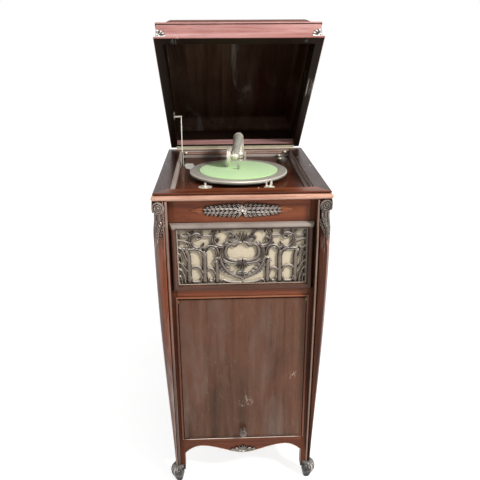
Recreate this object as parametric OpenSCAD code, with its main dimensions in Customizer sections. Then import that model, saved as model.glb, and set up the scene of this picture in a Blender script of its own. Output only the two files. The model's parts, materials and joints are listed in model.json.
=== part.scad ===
// Cabinet gramophone with a hinged lid, a carved grille and cabriole legs.
// Millimetres. +Z up, front towards -Y, floor at Z = 0.

/* [Case] */
// Width of the rim board round the turntable well
case_w = 476; // [456:1:490]
// Depth of the case at the rim
case_d = 584; // [550:1:620]
// Thickness of the rim board under the lid
rim_t = 5.5; // [4:0.5:8]
// Height of the moulded frame under the rim board
mould_h = 18; // [15:1:22]
// How far the round moulding stands out past the rim board
mould_out = 7.5; // [5:0.5:9]
// Thickness of the side panels
panel_t = 16; // [13:1:18]
// Thickness of the front rails and the apron
rail_t = 15; // [13:1:18]
// Thickness of the back panel
back_t = 12; // [9:1:14]
// Thickness of the bottom board
floor_t = 16; // [12:1:20]
// Thickness of the shelves
shelf_t = 12; // [9:1:16]

/* [Legs] */
// Half the width over the legs at the knee
leg_x = 247; // [244:1:252]
// How far the knees stand out past the panels and the front rails
leg_proud = 33; // [30:1:36]
// Width of a leg at the knee, from its inner edge
leg_w = 59; // [56:1:62]
// How much narrower a leg is under the moulding than at the knee
neck_in = 4; // [2:0.5:6]
// Width of a leg at the ankle
ankle_w = 31; // [29:1:34]
// Width of a leg at the widest part of its foot
foot_w = 46; // [42:1:50]
// Height of the ankle above the floor
ankle_z = 66; // [62:1:72]
// Distance of the knee below the moulding
knee_drop = 118; // [100:1:140]
// Radius of the rolled volute at the top of each front leg
volute_r = 14.5; // [12:0.5:16]
// Length of the volute along its axis
volute_l = 24; // [20:1:28]
// Radius of the rolled toe of each front leg
toe_r = 14.5; // [12:0.5:16]
// Length of the rolled toe along its axis
toe_l = 22; // [18:1:26]
// Width of the flat of each leg beside the door
stile_w = 16; // [14:1:18]
// Radius of the bead along each edge of a leg
leg_bead_r = 4; // [3:0.25:4.5]

/* [Front] */
// Height of the rail between the door and the grille frame
mid_rail_h = 26.5; // [20:0.5:32]
// Height of the grille frame
grille_h = 205; // [195:1:212]
// Height of the frieze between the grille frame and the top moulding
frieze_h = 70; // [60:1:80]
// Width of the grille frame
grille_w = 404; // [392:1:406]
// Width of the half-round grille moulding
grille_bar = 20; // [17:1:22]
// How far the grille moulding stands out
grille_proud = 13; // [10:1:15]
// How far the pierced panel reaches behind the grille moulding
fret_in = 5; // [3:0.5:7]
// Thickness of the pierced panel
fret_t = 7; // [5:0.5:9]
// Thickness of the speaker cloth
cloth_t = 1.2; // [0.8:0.1:2]
// Height of the door's lower edge above the floor
door_z = 166; // [158:1:174]
// Height of the door
door_h = 493; // [480:1:500]
// Width of the door
door_w = 373; // [368:0.5:374]
// Thickness of the door
door_t = 18; // [16:1:20]
// How far the door's edge bead stands out
door_bead = 1.2; // [0.8:0.1:2]
// Height of the door knob's axis above the door's lower edge
knob_up = 26; // [20:1:60]
// Radius of the door knob
knob_r = 12.5; // [10:0.5:14]
// Length of the door knob in front of the door
knob_l = 24.5; // [20:0.5:28]
// Radius of the door's pivot pins
pivot_r = 3; // [2:0.25:4]
// Distance of the pivot pins behind the door's face and below its top
pivot_in = 9.5; // [9:0.5:10]
// Gap above and below the door
door_gap = 4; // [3:0.5:5]
// Height of the lowest point of the apron above the floor
apron_z = 104; // [98:1:110]
// Height of the apron's arches above its lowest point
apron_rise = 29; // [22:1:34]
// Thickness of the leafy sprays on the frieze and the apron
spray_t = 5; // [3:0.5:7]

/* [Lid] */
// Angle from closed at which the stay holds the lid
lid_open = 41.3; // [36:0.1:46]
// Width of the lid at its lower bead
lid_w = 464; // [456:1:470]
// Depth of the lid
lid_d = 580; // [560:1:590]
// Height of the lid's straight rails
lid_rail_h = 57; // [48:1:62]
// Thickness of the lid's rails behind the bead
lid_rail_t = 18; // [15:1:21]
// Height of the lid over all
lid_h = 108; // [102:1:114]
// How far the lid's lower bead stands out
lid_bead = 6; // [4:0.5:7]
// How far the raised top lies inside the rails' outer faces
lid_inset = 50; // [42:1:54]
// Thickness of the lid's sloping sides and its top
lid_shell = 8; // [6:0.5:10]
// Gap under the closed lid
lid_gap = 1.7; // [1.6:0.1:2.4]
// Radius of the hinge knuckles
knuckle_r = 2.4; // [2:0.1:3]
// Length of each hinge knuckle
knuckle_l = 24; // [18:1:40]
// Radius of the hinge pin
hinge_pin_r = 1.2; // [1:0.1:1.4]
// Thickness of each hinge leaf
leaf_t = 0.6; // [0.5:0.05:0.65]

/* [Lid stay] */
// Radius of the stay rod
stay_r = 1.7; // [1.4:0.1:2.2]
// Distance of the stay's upper pivot from the lid hinge
stay_reach = 181; // [176:1:188]
// Height of the stay's upper pivot inside the lid
stay_lift = 17; // [14:1:22]
// Length of the stay rod below its pivot
stay_len = 154; // [150:1:157]
// Distance of the stay from the middle of the case
stay_x = 184; // [182:0.5:186]
// Distance of the stay's guide behind the middle of the case
stay_y = 150; // [148:1:152]

/* [Turntable] */
// Diameter of the turntable
platter_d = 305; // [290:1:315]
// Depth of the turntable's top below the rim
platter_drop = 7.5; // [7:0.5:10]
// Height of the turntable's edge
platter_h = 10.5; // [9:0.5:12]
// Thickness of the turntable's disc
platter_t = 4; // [3:0.5:6]
// Diameter of the felt mat
mat_d = 245; // [220:1:260]
// Thickness of the felt mat
mat_t = 1.6; // [1:0.1:2.5]
// Distance of the turntable's centre in front of the case's centre
platter_y = 6; // [2:1:10]
// Radius of the spindle's tip, which fits the hole of a record
spindle_tip_r = 3.6; // [3.5:0.01:3.62]
// Height of the spindle's tip above the mat
spindle_up = 18; // [12:0.5:20]
// Radius of the collar that a record rests against round the spindle
collar_r = 4.5; // [4.2:0.1:4.8]
// Radius of the spindle's shaft
spindle_r = 5; // [4.5:0.25:5.5]
// Depth of the motor board's top below the rim
well_d = 28; // [27:1:32]
// Thickness of the motor board
board_t = 12; // [10:1:14]

/* [Motor] */
// Clear height between the motor's plates
motor_h = 92; // [91:0.5:94]
// Thickness of the motor's plates
plate_t = 4; // [3:0.5:5]
// Distance of the motor's upper plate below the motor board
motor_drop = 8; // [6:0.5:10]
// Teeth on the barrel's gear
barrel_teeth = 60; // [57:1:60]
// Teeth on the intermediate wheel
wheel_teeth = 50; // [48:1:51]
// Teeth on each small pinion
pinion_teeth = 10; // [10:1:11]
// Module of the barrel's gear pair
barrel_module = 1.5; // [1.45:0.05:1.5]
// Module of the intermediate gear pair
wheel_module = 1.25; // [1.2:0.05:1.3]
// Radius of the spring barrel
barrel_r = 42; // [38:0.5:42]
// Radius of the gears' arbors
arbor_r = 3.5; // [3:0.25:4]
// Radius of the governor's shaft
gov_r = 2; // [1.75:0.25:2.5]
// Radius of the winding shaft
wind_r = 7; // [6:0.25:7.5]
// Radius of the socket that takes the crank
crank_r = 4.5; // [4:0.1:5]
// Depth of the socket that takes the crank
crank_depth = 16; // [12:1:20]
// How far the crank socket stands out of the side panel
crank_out = 5; // [4:0.5:8]

/* [Tonearm] */
// Distance of the tonearm's pivot behind the turntable's centre
arm_back = 196; // [193:1:199]
// Distance of the tonearm's pivot from the middle of the case
arm_x = 10; // [6:1:14]
// Turn of the tonearm from straight ahead at rest
arm_turn = 6.9; // [4:0.1:9]
// Length of the tonearm from its pivot to the sound box
arm_len = 168; // [162:1:172]
// Height of the tonearm's highest point above the rim
arm_rise = 80; // [76:1:82]
// Radius of the tonearm at its bend
arm_r = 16; // [14.5:0.5:16.5]
// Radius of the tonearm at the sound box
arm_tip_r = 10.5; // [9:0.5:11.5]
// Radius of the tonearm's bend
arm_bend = 26; // [23:1:29]
// Height of the tonearm's ball above the motor board
ball_up = 30; // [29:1:33]
// Radius of the sound box
box_r = 29.5; // [27:0.5:31]
// Thickness of the sound box
box_t = 12; // [10:0.5:14]
// Height of the needle's tip above the mat at rest
needle_up = 0.3; // [0.3:0.05:0.6]
// Outer radius of the metal throat below the tonearm
throat_r = 18; // [17:0.5:19]
// Wall of the metal throat
throat_wall = 4; // [3:0.5:5]
// Wall of the wooden horn
horn_wall = 8; // [6:0.5:10]
// Drop of the horn's throat below the middle of the grille
throat_drop = 25; // [18:1:32]

/* [Fits] */
// Gap between pieces that move past each other
gap = 0.3; // [0.25:0.05:0.5]
// Radial clearance of a shaft in its bearing
run = 0.05; // [0.02:0.01:0.1]

/* [Hidden] */
$fn = 48;

// heights, from the door up to the rim
door_top = door_z + door_h;
rail_low = door_top + door_gap;
grille_z = rail_low + mid_rail_h;
grille_top = grille_z + grille_h;
grille_mid = grille_z + grille_h / 2;
mould_z = grille_top + frieze_h;
rim_z = mould_z + mould_h + rim_t;
board_z = rim_z - well_d;
board_low = board_z - board_t;
throat_z = grille_mid - throat_drop;
open_h = grille_h - 2 * grille_bar;
open_w = grille_w - 2 * grille_bar;
floor_top = door_z - door_gap;
floor_low = floor_top - floor_t;
// plan
side_x = leg_x - leg_proud;
leg_y = case_d / 2 + mould_out;
front_y = -(leg_y - leg_proud);
leg_in_x = leg_x - leg_w;
leg_in_y = leg_y - leg_w;
inner_x = side_x - panel_t;
back_y = case_d / 2;
back_in = back_y - back_t;
rail_back = front_y + rail_t;
stile = leg_w - leg_proud;
// lid and hinge
hinge_in = knuckle_r + gap;
hinge_y = back_y + hinge_in;
hinge_z = rim_z + lid_gap / 2;
lid_base = lid_gap / 2;
lid_in = lid_bead + lid_inset;
// the origin lies under the middle of the whole length, from knee to open lid
back_reach = hinge_y - (hinge_in + lid_in) * cos(lid_open) + (lid_base + lid_h) * sin(lid_open);
shift_y = (leg_y + 1 - back_reach) / 2;
// turntable and motor
plat_z = rim_z - platter_drop;
plat_y = -platter_y;
mat_z = plat_z;
mat_top = mat_z + mat_t;
motor_top = board_low - motor_drop - plate_t;
motor_low = motor_top - motor_h;
barrel_mesh = (barrel_teeth + pinion_teeth) * barrel_module / 2;
wheel_mesh = (wheel_teeth + pinion_teeth) * wheel_module / 2;
inter_dir = 158;
barrel_dir = 100;
inter_pos = [wheel_mesh * cos(inter_dir), plat_y + wheel_mesh * sin(inter_dir)];
barrel_pos = inter_pos + barrel_mesh * [cos(barrel_dir), sin(barrel_dir)];
drum_low = motor_low + 3;
drum_h = 45;
drum_top = drum_low + drum_h;
barrel_gear_t = 5;
wheel_z = motor_low + 62;
crown_z = motor_low + 80;
crown_r = 28;
crown_tooth = 2.5;
wind_z = crown_z - crown_tooth - gap - (pinion_teeth / 2 + 1) * wheel_module;
gov_teeth = 48;
gov_wheel_r = gov_teeth / 2;
worm_r = 4.7;
gov_y = plat_y - gov_wheel_r - 0.8 - gap - worm_r;
gov_z = motor_low + 24;
// tonearm
arm_y = plat_y + arm_back;
ball_z = board_z + ball_up;
ball_r = arm_r + 1.5;
bend_z = rim_z + arm_rise - arm_r - arm_bend;
box_z = mat_top + needle_up + box_r + 5.7;
function fall(f) = atan((bend_z + arm_bend * cos(f) - box_z) / (arm_len - arm_bend * (1 + sin(f))));
arm_fall = fall(fall(fall(12)));
box_in = arm_tip_r + 1.2;

module placed() translate([0, shift_y, 0]) children();

// ---------- shared shapes ----------

function arc(cx, cy, rx, ry, a0, a1, n = 8) =
    [for (k = [0:n]) let (a = a0 + (a1 - a0) * k / n) [cx + rx * cos(a), cy + ry * sin(a)]];
function ease(t) = (1 - cos(180 * min(max(t, 0), 1))) / 2;

// A mitred frame lying flat round the origin, half_x by half_y at its profile's zero
// line. The profile is drawn with x outward and y up; sides are 0 front, 1 right,
// 2 back and 3 left.
module mitred(half_x, half_y, width, over, low, high, sides = [0, 1, 2, 3]) {
    for (s = sides) rotate([0, 0, 90 * s]) intersection() {
        a = s % 2 == 0 ? half_x : half_y;
        b = s % 2 == 0 ? half_y : half_x;
        rotate([90, 0, -90]) linear_extrude(2 * (a + over), center = true)
            translate([b, 0]) children();
        translate([0, 0, low - 1]) linear_extrude(high - low + 2)
            polygon([[-a - over, -b - over], [a + over, -b - over],
                [a - width, -b + width], [-a + width, -b + width]]);
    }
}

// Outline of a gear with straight-sided teeth and play between them.
function gear_points(teeth, m) = [for (i = [0:teeth - 1], k = [0:3])
    let (a = (i + [-0.26, -0.13, 0.13, 0.26][k]) * 360 / teeth,
        r = (teeth / 2 + [-1.15, 0.8, 0.8, -1.15][k]) * m) [r * cos(a), r * sin(a)]];
module gear(teeth, m, t) linear_extrude(t) polygon(gear_points(teeth, m));
// Turn of a gear so that its teeth meet the gaps of the one it is driven by.
function mesh_turn(na, turn, nb, dir) = dir + 180 - na / nb * (turn - dir) - 180 / nb;

// A smooth curve through a few points, n steps from one to the next.
function bend(p, i, t) = let (a = p[max(i - 1, 0)], b = p[i], c = p[i + 1],
        d = p[min(i + 2, len(p) - 1)])
    0.5 * ((2 * b) + (c - a) * t + (2 * a - 5 * b + 4 * c - d) * t * t
        + (3 * b - a - 3 * c + d) * t * t * t);
function curve(p, n) = concat([for (i = [0:len(p) - 2], k = [0:n - 1]) bend(p, i, k / n)],
    [p[len(p) - 1]]);
function side_of(c, i) = let (d = c[min(i + 1, len(c) - 1)] - c[max(i - 1, 0)])
    [-d[1], d[0]] / max(norm(d), 0.001);

// A band along a curve, w wide, swelling by fat in the middle.
module band(p, w, fat = 0, n = 3) {
    c = curve(p, n);
    last = len(c) - 1;
    half = [for (i = [0:last]) w / 2 + fat / 2 * sin(180 * i / last)];
    polygon(concat([for (i = [0:last]) c[i] + half[i] * side_of(c, i)],
        [for (i = [last:-1:0]) c[i] - half[i] * side_of(c, i)]));
    for (q = [p[0], p[len(p) - 1]]) translate(q) circle(r = w / 2, $fn = 6);
}

// A pointed leaf along +X from the origin.
module leaf(l, w) polygon([[0, -1], [l * 0.28, -w * 0.45], [l * 0.62, -w * 0.48], [l, 0],
    [l * 0.62, w * 0.48], [l * 0.28, w * 0.45], [0, 1]]);

module both() {
    children();
    mirror([1, 0, 0]) children();
}

// ---------- legs ----------

knee_z = mould_z - knee_drop;
shin_z = floor_low - 14;
// Width of a leg at a height: foot, ankle, long taper, knee and neck.
function leg_width(z) =
    z < ankle_z * 0.4 ? foot_w - (foot_w - ankle_w - 7) * pow(1 - z / (ankle_z * 0.4), 2)
    : z < ankle_z ? foot_w - (foot_w - ankle_w) * ease((z / ankle_z - 0.4) / 0.6)
    : z < knee_z ? ankle_w + (leg_w - ankle_w) * pow(sin(90 * (z - ankle_z) / (knee_z - ankle_z)), 1.25)
    : leg_w - neck_in * ease((z - knee_z - 24) / 42);
leg_levels = concat([for (t = [0, 0.08, 0.2, 0.4, 0.55, 0.7, 0.82, 1]) t * ankle_z],
    [shin_z, shin_z + 0.1], [for (i = [2:9]) ankle_z + (knee_z - ankle_z) * i / 9],
    [knee_z + 24, knee_z + 45, knee_z + 66, mould_z]);
// One face of a leg from its flat to its corner: two beads and a rounded post.
function leg_face(w, s) = let (g = stile_w, r = leg_bead_r, q = r * 0.71, c = w - r - 0.2,
        f = g + 2 * r + 1)
    [[s, g], [c, g], [c + q, g + r - q], [c + r, g + r], [c + q, g + r + q], [c, g + 2 * r],
     [c, f], [w - 1.5, f + 0.5], [w, f + 3]];
function leg_ring(z, notch_u, notch_v) = let (w = leg_width(z),
        below = z < shin_z + 0.05,
        s = below ? w - 2 : min(stile, w - 2),
        nu = below ? 0.5 : notch_u, nv = below ? 0.5 : notch_v,
        face = leg_face(w, s), o = face[8][1], r = w - o,
        in = z < ankle_z * 0.4 ? 11 * pow(1 - z / (ankle_z * 0.4), 1.5) : 0,
        round = [for (k = [1:5]) [o + r * cos(15 * k), o + r * sin(15 * k)]],
        ring = concat([[nu, 0], [s, 0]], face, round,
            [for (i = [8:-1:0]) [face[i][1], face[i][0]]], [[0, s], [0, nv], [nu, nv]]))
    [for (p = ring) [max(p[0], in + p[0] * 0.02), max(p[1], in + p[1] * 0.02), z]];
// A rear leg keeps a straight flat back, and its foot grows forwards below the case.
function rear_ring(z, notch_u, flat) = let (w = leg_width(z), below = z < shin_z + 0.05,
        s = below ? w - 2 : min(stile, w - 2), nu = below ? 0.5 : notch_u,
        v0 = max(0, flat - w) * ease((shin_z - z) / 50),
        in = z < ankle_z * 0.4 ? 8 * pow(1 - z / (ankle_z * 0.4), 1.5) : 0,
        ring = concat([[nu, 0], [s, 0]], leg_face(w, s), [[w, flat - 3], [w - 3, flat], [nu, flat]]))
    [for (p = ring) [max(p[0], in + p[0] * 0.02), v0 + p[1] * (flat - v0) / flat, z]];
module leg_loft(rings) {
    n = len(rings[0]);
    m = len(rings);
    polyhedron(points = [for (r = rings, p = r) p],
        faces = concat([[for (i = [0:n - 1]) i]], [[for (i = [n - 1:-1:0]) (m - 1) * n + i]],
            [for (j = [0:m - 2], i = [0:n - 1]) each [
                [j * n + i, (j + 1) * n + i, (j + 1) * n + (i + 1) % n],
                [j * n + i, (j + 1) * n + (i + 1) % n, j * n + (i + 1) % n]]]));
}
// A roll across a leg's corner, its axis level and square to the corner's diagonal.
module corner_roll(reach, z, r, l) {
    out = reach - (l / 2 + r) * cos(45);
    translate([out, out, z]) rotate([0, 0, -45]) rotate([0, 90, 0])
        cylinder(r = r, h = l, center = true);
}
module front_leg() placed() mirror([0, 1, 0]) translate([leg_in_x, leg_in_y, 0]) union() {
    leg_loft([for (z = leg_levels) leg_ring(z, inner_x - leg_in_x, -rail_back - leg_in_y)]);
    corner_roll(leg_w + 1, mould_z - volute_r - 1, volute_r, volute_l);
    corner_roll(foot_w + 1, ankle_z * 0.54, toe_r, toe_l);
}
module rear_leg() placed() translate([leg_in_x, leg_in_y, 0])
    leg_loft([for (z = leg_levels) rear_ring(z, inner_x - leg_in_x, back_y - leg_in_y)]);
module leg_front_right() color("#5a2a1c") front_leg();
module leg_front_left() color("#5a2a1c") mirror([1, 0, 0]) front_leg();
module leg_rear_right() color("#5a2a1c") rear_leg();
module leg_rear_left() color("#5a2a1c") mirror([1, 0, 0]) rear_leg();

// ---------- case ----------

// Height of an apron's lower edge, which dips in the middle and towards the legs.
function apron_low(x, span) = let (t = abs(x) / span)
    t < 0.72 ? apron_z + apron_rise * ease(t / 0.72)
    : apron_z + apron_rise - (apron_rise - 2) * pow((t - 0.72) / 0.28, 2);
// An apron's outline up to a height, drawn from one leg to the other.
function apron_points(span, top) = let (n = 36) concat(
    [for (i = [0:n]) let (x = span * (2 * i / n - 1)) [x, apron_low(x, span)]],
    [[span, top], [-span, top]]);
module side_panel(hole) placed() difference() {
    translate([inner_x, 0, 0]) rotate([90, 0, 90]) linear_extrude(panel_t)
        polygon(apron_points(leg_in_y, mould_z));
    if (hole) translate([inner_x - 1, barrel_pos[1], wind_z]) rotate([0, 90, 0])
        cylinder(r = wind_r + 4, h = panel_t + 2);
}
module side_panel_right() color("#4a2016") side_panel(true);
module side_panel_left() color("#4a2016") mirror([1, 0, 0]) side_panel(false);
module back_panel() color("#3f1d14") placed()
    translate([-inner_x, back_in, floor_low]) cube([2 * inner_x, back_t, mould_z - floor_low]);
// The bottom board carries the strip that stops the closing door.
module bottom_board() color("#5b3a26") placed() union() {
    translate([-inner_x, rail_back, floor_low])
        cube([2 * inner_x, back_in - rail_back, floor_t]);
    translate([-leg_in_x, front_y + door_t + gap, floor_top - 1])
        cube([2 * leg_in_x, 9, door_gap + 9]);
}
module frieze_rail() color("#6e3626") placed() {
    low = grille_top - grille_bar + fret_in;
    translate([-leg_in_x, front_y, low]) cube([2 * leg_in_x, rail_t, mould_z - low]);
}
module mid_rail() color("#7a3c26") placed() translate([-leg_in_x, front_y, rail_low])
    cube([2 * leg_in_x, rail_t, grille_z + grille_bar - fret_in - rail_low]);
module front_apron() color("#6b3222") placed() translate([0, rail_back, 0]) rotate([90, 0, 0])
    linear_extrude(rail_t) polygon(apron_points(leg_in_x, floor_top));
module shelf(z) translate([-inner_x, front_y + door_t + 12, z])
    cube([2 * inner_x, back_in - front_y - door_t - 12, shelf_t]);
module divider_shelf() color("#5b3a26") placed() shelf(rail_low + 11);
module record_shelf() color("#5b3a26") placed() shelf((floor_top + rail_low) / 2 + 62);

// ---------- front ----------

// Half-round moulding with a flat fillet along its inner edge.
module grille_frame() color("#7d6a5c") placed() translate([0, front_y, grille_mid])
    rotate([90, 0, 0]) mitred(grille_w / 2, grille_h / 2, grille_bar, 0, 0, grille_proud)
        polygon(concat([[-grille_bar, 0], [-grille_bar, 4]],
            arc(-grille_bar / 2 + 1, 4, grille_bar / 2 - 2, grille_proud - 4, 180, 0, 12),
            [[0, 3], [0, 0]]));

// Half of the pierced panel: two posts and a half post with arches in two tiers,
// C-scrolls and swags above them, a cartouche under a shell, and leafy festoons.
module fret_half() {
    hx = leg_in_x;
    edge = open_w / 2;
    hz = open_h / 2 + fret_in;
    rim = 3.5;
    translate([edge - 2, -hz]) square([hx - edge + 2, 2 * hz]);
    for (i = [0:7]) translate([edge - 1, 3.5 - hz + 22 * i]) circle(r = 6.5, $fn = 10);
    translate([0, -hz]) square([hx, fret_in + rim]);
    translate([0, hz - fret_in - rim]) square([hx, fret_in + rim]);
    fret_posts();
    fret_scrolls();
    fret_middle();
}
module fret_posts() {
    band([[147, -85], [147, -34], [148, 3], [156, 20]], 9);
    band([[103, -85], [103, -40], [103, 3], [109, 15]], 9);
    band([[67, -85], [67, -46], [68, -21], [75, -12]], 7.5);
    band([[150, 20], [136, 21], [122, 20], [111, 12], [105, -3]], 6.5);
    band([[143, -40], [136, -32], [125, -31], [115, -38], [109, -52]], 5);
    band([[143, -61], [139, -75], [128, -78], [116, -75], [111, -61]], 4);
    band([[101, 15], [95, 26], [84, 31], [72, 26], [66, 14], [66, 0]], 8);
    band([[99, -46], [92, -38], [84, -38], [75, -46], [71, -58]], 4.5);
    band([[96, -64], [91, -75], [81, -76], [72, -67]], 4);
    band([[182, 33], [168, 24], [160, 12], [156, -3], [148, -15]], 4);
    band([[182, 15], [170, 6], [166, -9], [168, -21]], 3.5);
    band([[182, -14], [168, -21], [158, -37], [148, -46]], 4);
    band([[182, -32], [168, -41], [159, -58], [155, -85]], 4);
    band([[182, -55], [170, -61], [165, -76], [165, -85]], 3.5);
    for (p = [[82, -16], [114, -48]]) translate(p) rotate(-40) leaf(-15, 9);
}
module fret_scrolls() {
    band([[111, 64], [125, 67], [138, 61], [142, 47], [136, 33], [125, 25], [113, 29]], 6, 2);
    band([[111, 64], [113, 55], [122, 52], [127, 58], [122, 61]], 3.5);
    band([[125, 25], [122, 20]], 5);
    band([[138, 61], [150, 74], [152, 84]], 4);
    band([[179, 80], [166, 63], [153, 61], [141, 66], [131, 82]], 4.5);
    band([[112, 84], [108, 64], [96, 61], [82, 62], [74, 73], [71, 84]], 4.5);
    band([[71, 77], [78, 64], [79, 49], [72, 36], [59, 29], [45, 30]], 6, 2);
    band([[78, 49], [68, 58], [64, 49], [69, 41]], 3.5);
    band([[72, 84], [56, 78], [39, 78], [25, 71], [15, 58]], 5);
    band([[11, 44], [27, 47], [33, 55], [31, 62], [25, 61]], 3.5);
    band([[182, 51], [165, 49], [153, 45], [139, 41]], 4.5);
    band([[146, 41], [148, 33], [156, 35]], 3);
    for (p = [[66, 80], [113, 30], [28, 62]]) translate(p) rotate(200) leaf(11, 7);
}
module fret_middle() {
    band([[0, 48], [9, 45], [17, 38], [28, 36], [38, 27], [42, 14], [38, 0], [28, -10],
        [14, -15], [0, -11]], 6.5, 1.5);
    band([[35, 41], [48, 32], [56, 20], [58, 6], [54, -8], [44, -17], [31, -21], [17, -23],
        [0, -18]], 6.5, 2);
    band([[66, 0], [61, -6], [56, -15]], 5);
    band([[75, -12], [66, -5], [58, -11], [52, -24]], 5);
    band([[62, -15], [56, -37], [45, -52], [31, -64], [15, -73], [0, -76]], 5);
    band([[46, -18], [41, -35], [28, -49], [14, -56], [0, -59]], 4.5);
    band([[65, -85], [56, -72], [45, -76], [28, -81], [0, -82]], 4);
    for (i = [0:4]) translate([0, 44]) rotate(90 - 19 * i) leaf(41 - 3 * i, 11);
    for (i = [0:2]) {
        translate([0, -14]) rotate(270 + 27 * i) leaf(30 - 4 * i, 12);
        translate([0, -44]) rotate(270 + 27 * i) leaf(38 - 5 * i, 11);
    }
    for (i = [0:4]) translate([59 - 12 * i, -27 - 9.5 * i]) rotate(-70 + 12 * i) leaf(15, 7);
    for (i = [0:2]) translate([42 - 11 * i, -34 - 9 * i]) rotate(-60 + 12 * i) leaf(13, 6);
}
module grille_fretwork() color("#8a7a6a") placed() translate([0, front_y + fret_t, grille_mid])
    rotate([90, 0, 0]) linear_extrude(fret_t) intersection() {
        offset(delta = 0.4) both() fret_half();
        square([2 * leg_in_x, open_h + 2 * fret_in], center = true);
    }
module grille_cloth() color("#d8cdb0") placed()
    translate([-leg_in_x, front_y + fret_t, grille_mid - open_h / 2 - fret_in])
        cube([2 * leg_in_x, cloth_t, open_h + 2 * fret_in]);

// A spray of pointed leaves along a stem, from the middle outwards.
module spray(half_l, rise, n) {
    band([[0, 0], [half_l * 0.5, 1], [half_l * 0.95, 0]], 3);
    for (i = [0:n - 1], s = [-1, 1]) translate([half_l * (0.04 + 0.84 * i / n) + s, 0])
        rotate(-s * (38 - 14 * i / n)) leaf(rise * (1.5 - 0.55 * i / n), 5.5);
    translate([half_l * 0.9, 0]) leaf(half_l * 0.32, 8);
}
module frieze_carving() color("#6f655c") placed()
    translate([0, front_y, (grille_top + mould_z) / 2]) rotate([90, 0, 0])
        linear_extrude(spray_t) offset(delta = 0.3) {
            both() spray(104, 27, 11);
            for (a = [0:45:315]) rotate(a) translate([3, 0]) leaf(13, 8);
        }
module apron_carving() color("#6f655c") placed()
    translate([0, front_y, apron_z + 12]) rotate([90, 0, 0])
        linear_extrude(spray_t) offset(delta = 0.3) {
            both() band([[0, -6], [22, -1], [40, 7], [52, 6]], 5, 3);
            both() for (i = [0:4]) translate([6 + i * 9, -3 + i * 1.8]) rotate(52 - i * 7)
                leaf(14, 6);
            for (a = [30:30:150]) rotate(a) leaf(18, 7);
            translate([0, -3]) circle(r = 6, $fn = 16);
        }
// Three strips round the door, the top one across the two uprights.
bead_w = 5;
bead_proud = 3.5;
module door_opening_bead() color("#8c5444") placed() translate([0, front_y - bead_proud, 0]) {
    in_x = leg_in_x + 1.2;
    both() translate([in_x, 0, floor_top]) cube([bead_w, bead_proud, rail_low - floor_top]);
    translate([-in_x - bead_w, 0, rail_low]) cube([2 * (in_x + bead_w), bead_proud, bead_w]);
}

// ---------- door ----------

door_axis = [front_y + pivot_in, door_top - pivot_in];
door_half = door_w / 2;
bush_l = leg_in_x - door_half - gap;
module door_panel() color("#5d4236") placed() difference() {
    union() {
        rotate([90, 0, 90]) linear_extrude(door_w, center = true) polygon(concat(
            [[front_y, door_z]], [[front_y + door_t, door_z]], [[front_y + door_t, door_top]],
            arc(door_axis[0], door_axis[1], pivot_in, pivot_in, 90, 180, 8)));
        both() translate([door_half - 3.5, front_y - door_bead, door_z])
            cube([3.5, door_bead + 1, door_h - pivot_in - 1]);
        translate([-door_half, front_y - door_bead, door_z]) cube([door_w, door_bead + 1, 3.5]);
    }
    for (s = [-1, 1]) translate([s * (door_half - 10), door_axis[0], door_axis[1]])
        rotate([0, 90, 0]) cylinder(r = pivot_r + run, h = 22, center = true);
    translate([0, front_y - 2, door_z + knob_up]) rotate([-90, 0, 0]) cylinder(r = 4, h = 12);
}
module door_knob() color("#6b4a3a") placed() translate([0, front_y, door_z + knob_up])
    rotate([90, 0, 0]) rotate_extrude() polygon(concat([[0, -9.5], [4 - run, -9.5], [4 - run, 0], [9, 0],
        [9, 2], [5, 4], [4.5, knob_l - 16], [7, knob_l - 13]],
        [for (a = [-35:23:80]) [knob_r * cos(a), knob_l - 7 + 6.8 * sin(a)]], [[0, knob_l]]));
module door_pivot_pins() color("#b08d4f") placed() for (s = [-1, 1])
    translate([s * (door_half - 21), door_axis[0], door_axis[1]]) rotate([0, s * 90, 0])
        cylinder(r = pivot_r, h = leg_in_x - door_half + 21 - gap);
module door_pivot_plates() color("#b08d4f") placed() for (s = [-1, 1])
    translate([s * (door_half + gap), door_axis[0], door_axis[1]]) rotate([0, s * 90, 0])
        difference() {
            cylinder(r = pivot_in - 0.5, h = bush_l);
            translate([0, 0, -1]) cylinder(r = pivot_r + run, h = bush_l + 2);
        }

// ---------- top of the case ----------

module well_cut(low, high) translate([-inner_x, rail_back, low])
    cube([2 * inner_x, back_in - rail_back, high - low]);
// Mouldings run along the front and both sides and end flat at the back.
module edge_run(over, low, high) {
    deep = case_d + 40;
    intersection() {
        translate([0, (deep - case_d) / 2, 0])
            mitred(case_w / 2, deep / 2, 12, over, low, high, [0, 1, 3]) children();
        translate([-case_w, -case_d, low - 1]) cube([2 * case_w, case_d + back_y, high - low + 2]);
    }
}
module case_rim() color("#6d4538") placed() union() {
    difference() {
        translate([-case_w / 2 + 6, -case_d / 2 + 6, rim_z - rim_t])
            cube([case_w - 12, case_d - 6, rim_t]);
        well_cut(rim_z - rim_t - 1, rim_z + 1);
    }
    edge_run(4, rim_z - rim_t, rim_z) polygon(concat([[-6, rim_z - rim_t]],
        arc(0, rim_z - rim_t / 2, rim_t / 2 + 0.5, rim_t / 2, -90, 90), [[-6, rim_z]]));
}
module top_moulding() color("#7d4636") placed() union() {
    difference() {
        translate([-case_w / 2 + 6, -case_d / 2 + 6, mould_z]) cube([case_w - 12, case_d - 6, mould_h]);
        well_cut(mould_z - 1, mould_z + mould_h + 1);
    }
    edge_run(mould_out + 2, mould_z, mould_z + mould_h) polygon(concat(
        [[-6, mould_z], [-1, mould_z], [-1, mould_z + 1.5]],
        arc(0, mould_z + mould_h / 2, mould_out, mould_h / 2 - 1.5, -90, 90, 10),
        [[-2.5, mould_z + mould_h - 1.5], [-2.5, mould_z + mould_h], [-6, mould_z + mould_h]]));
}
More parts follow.
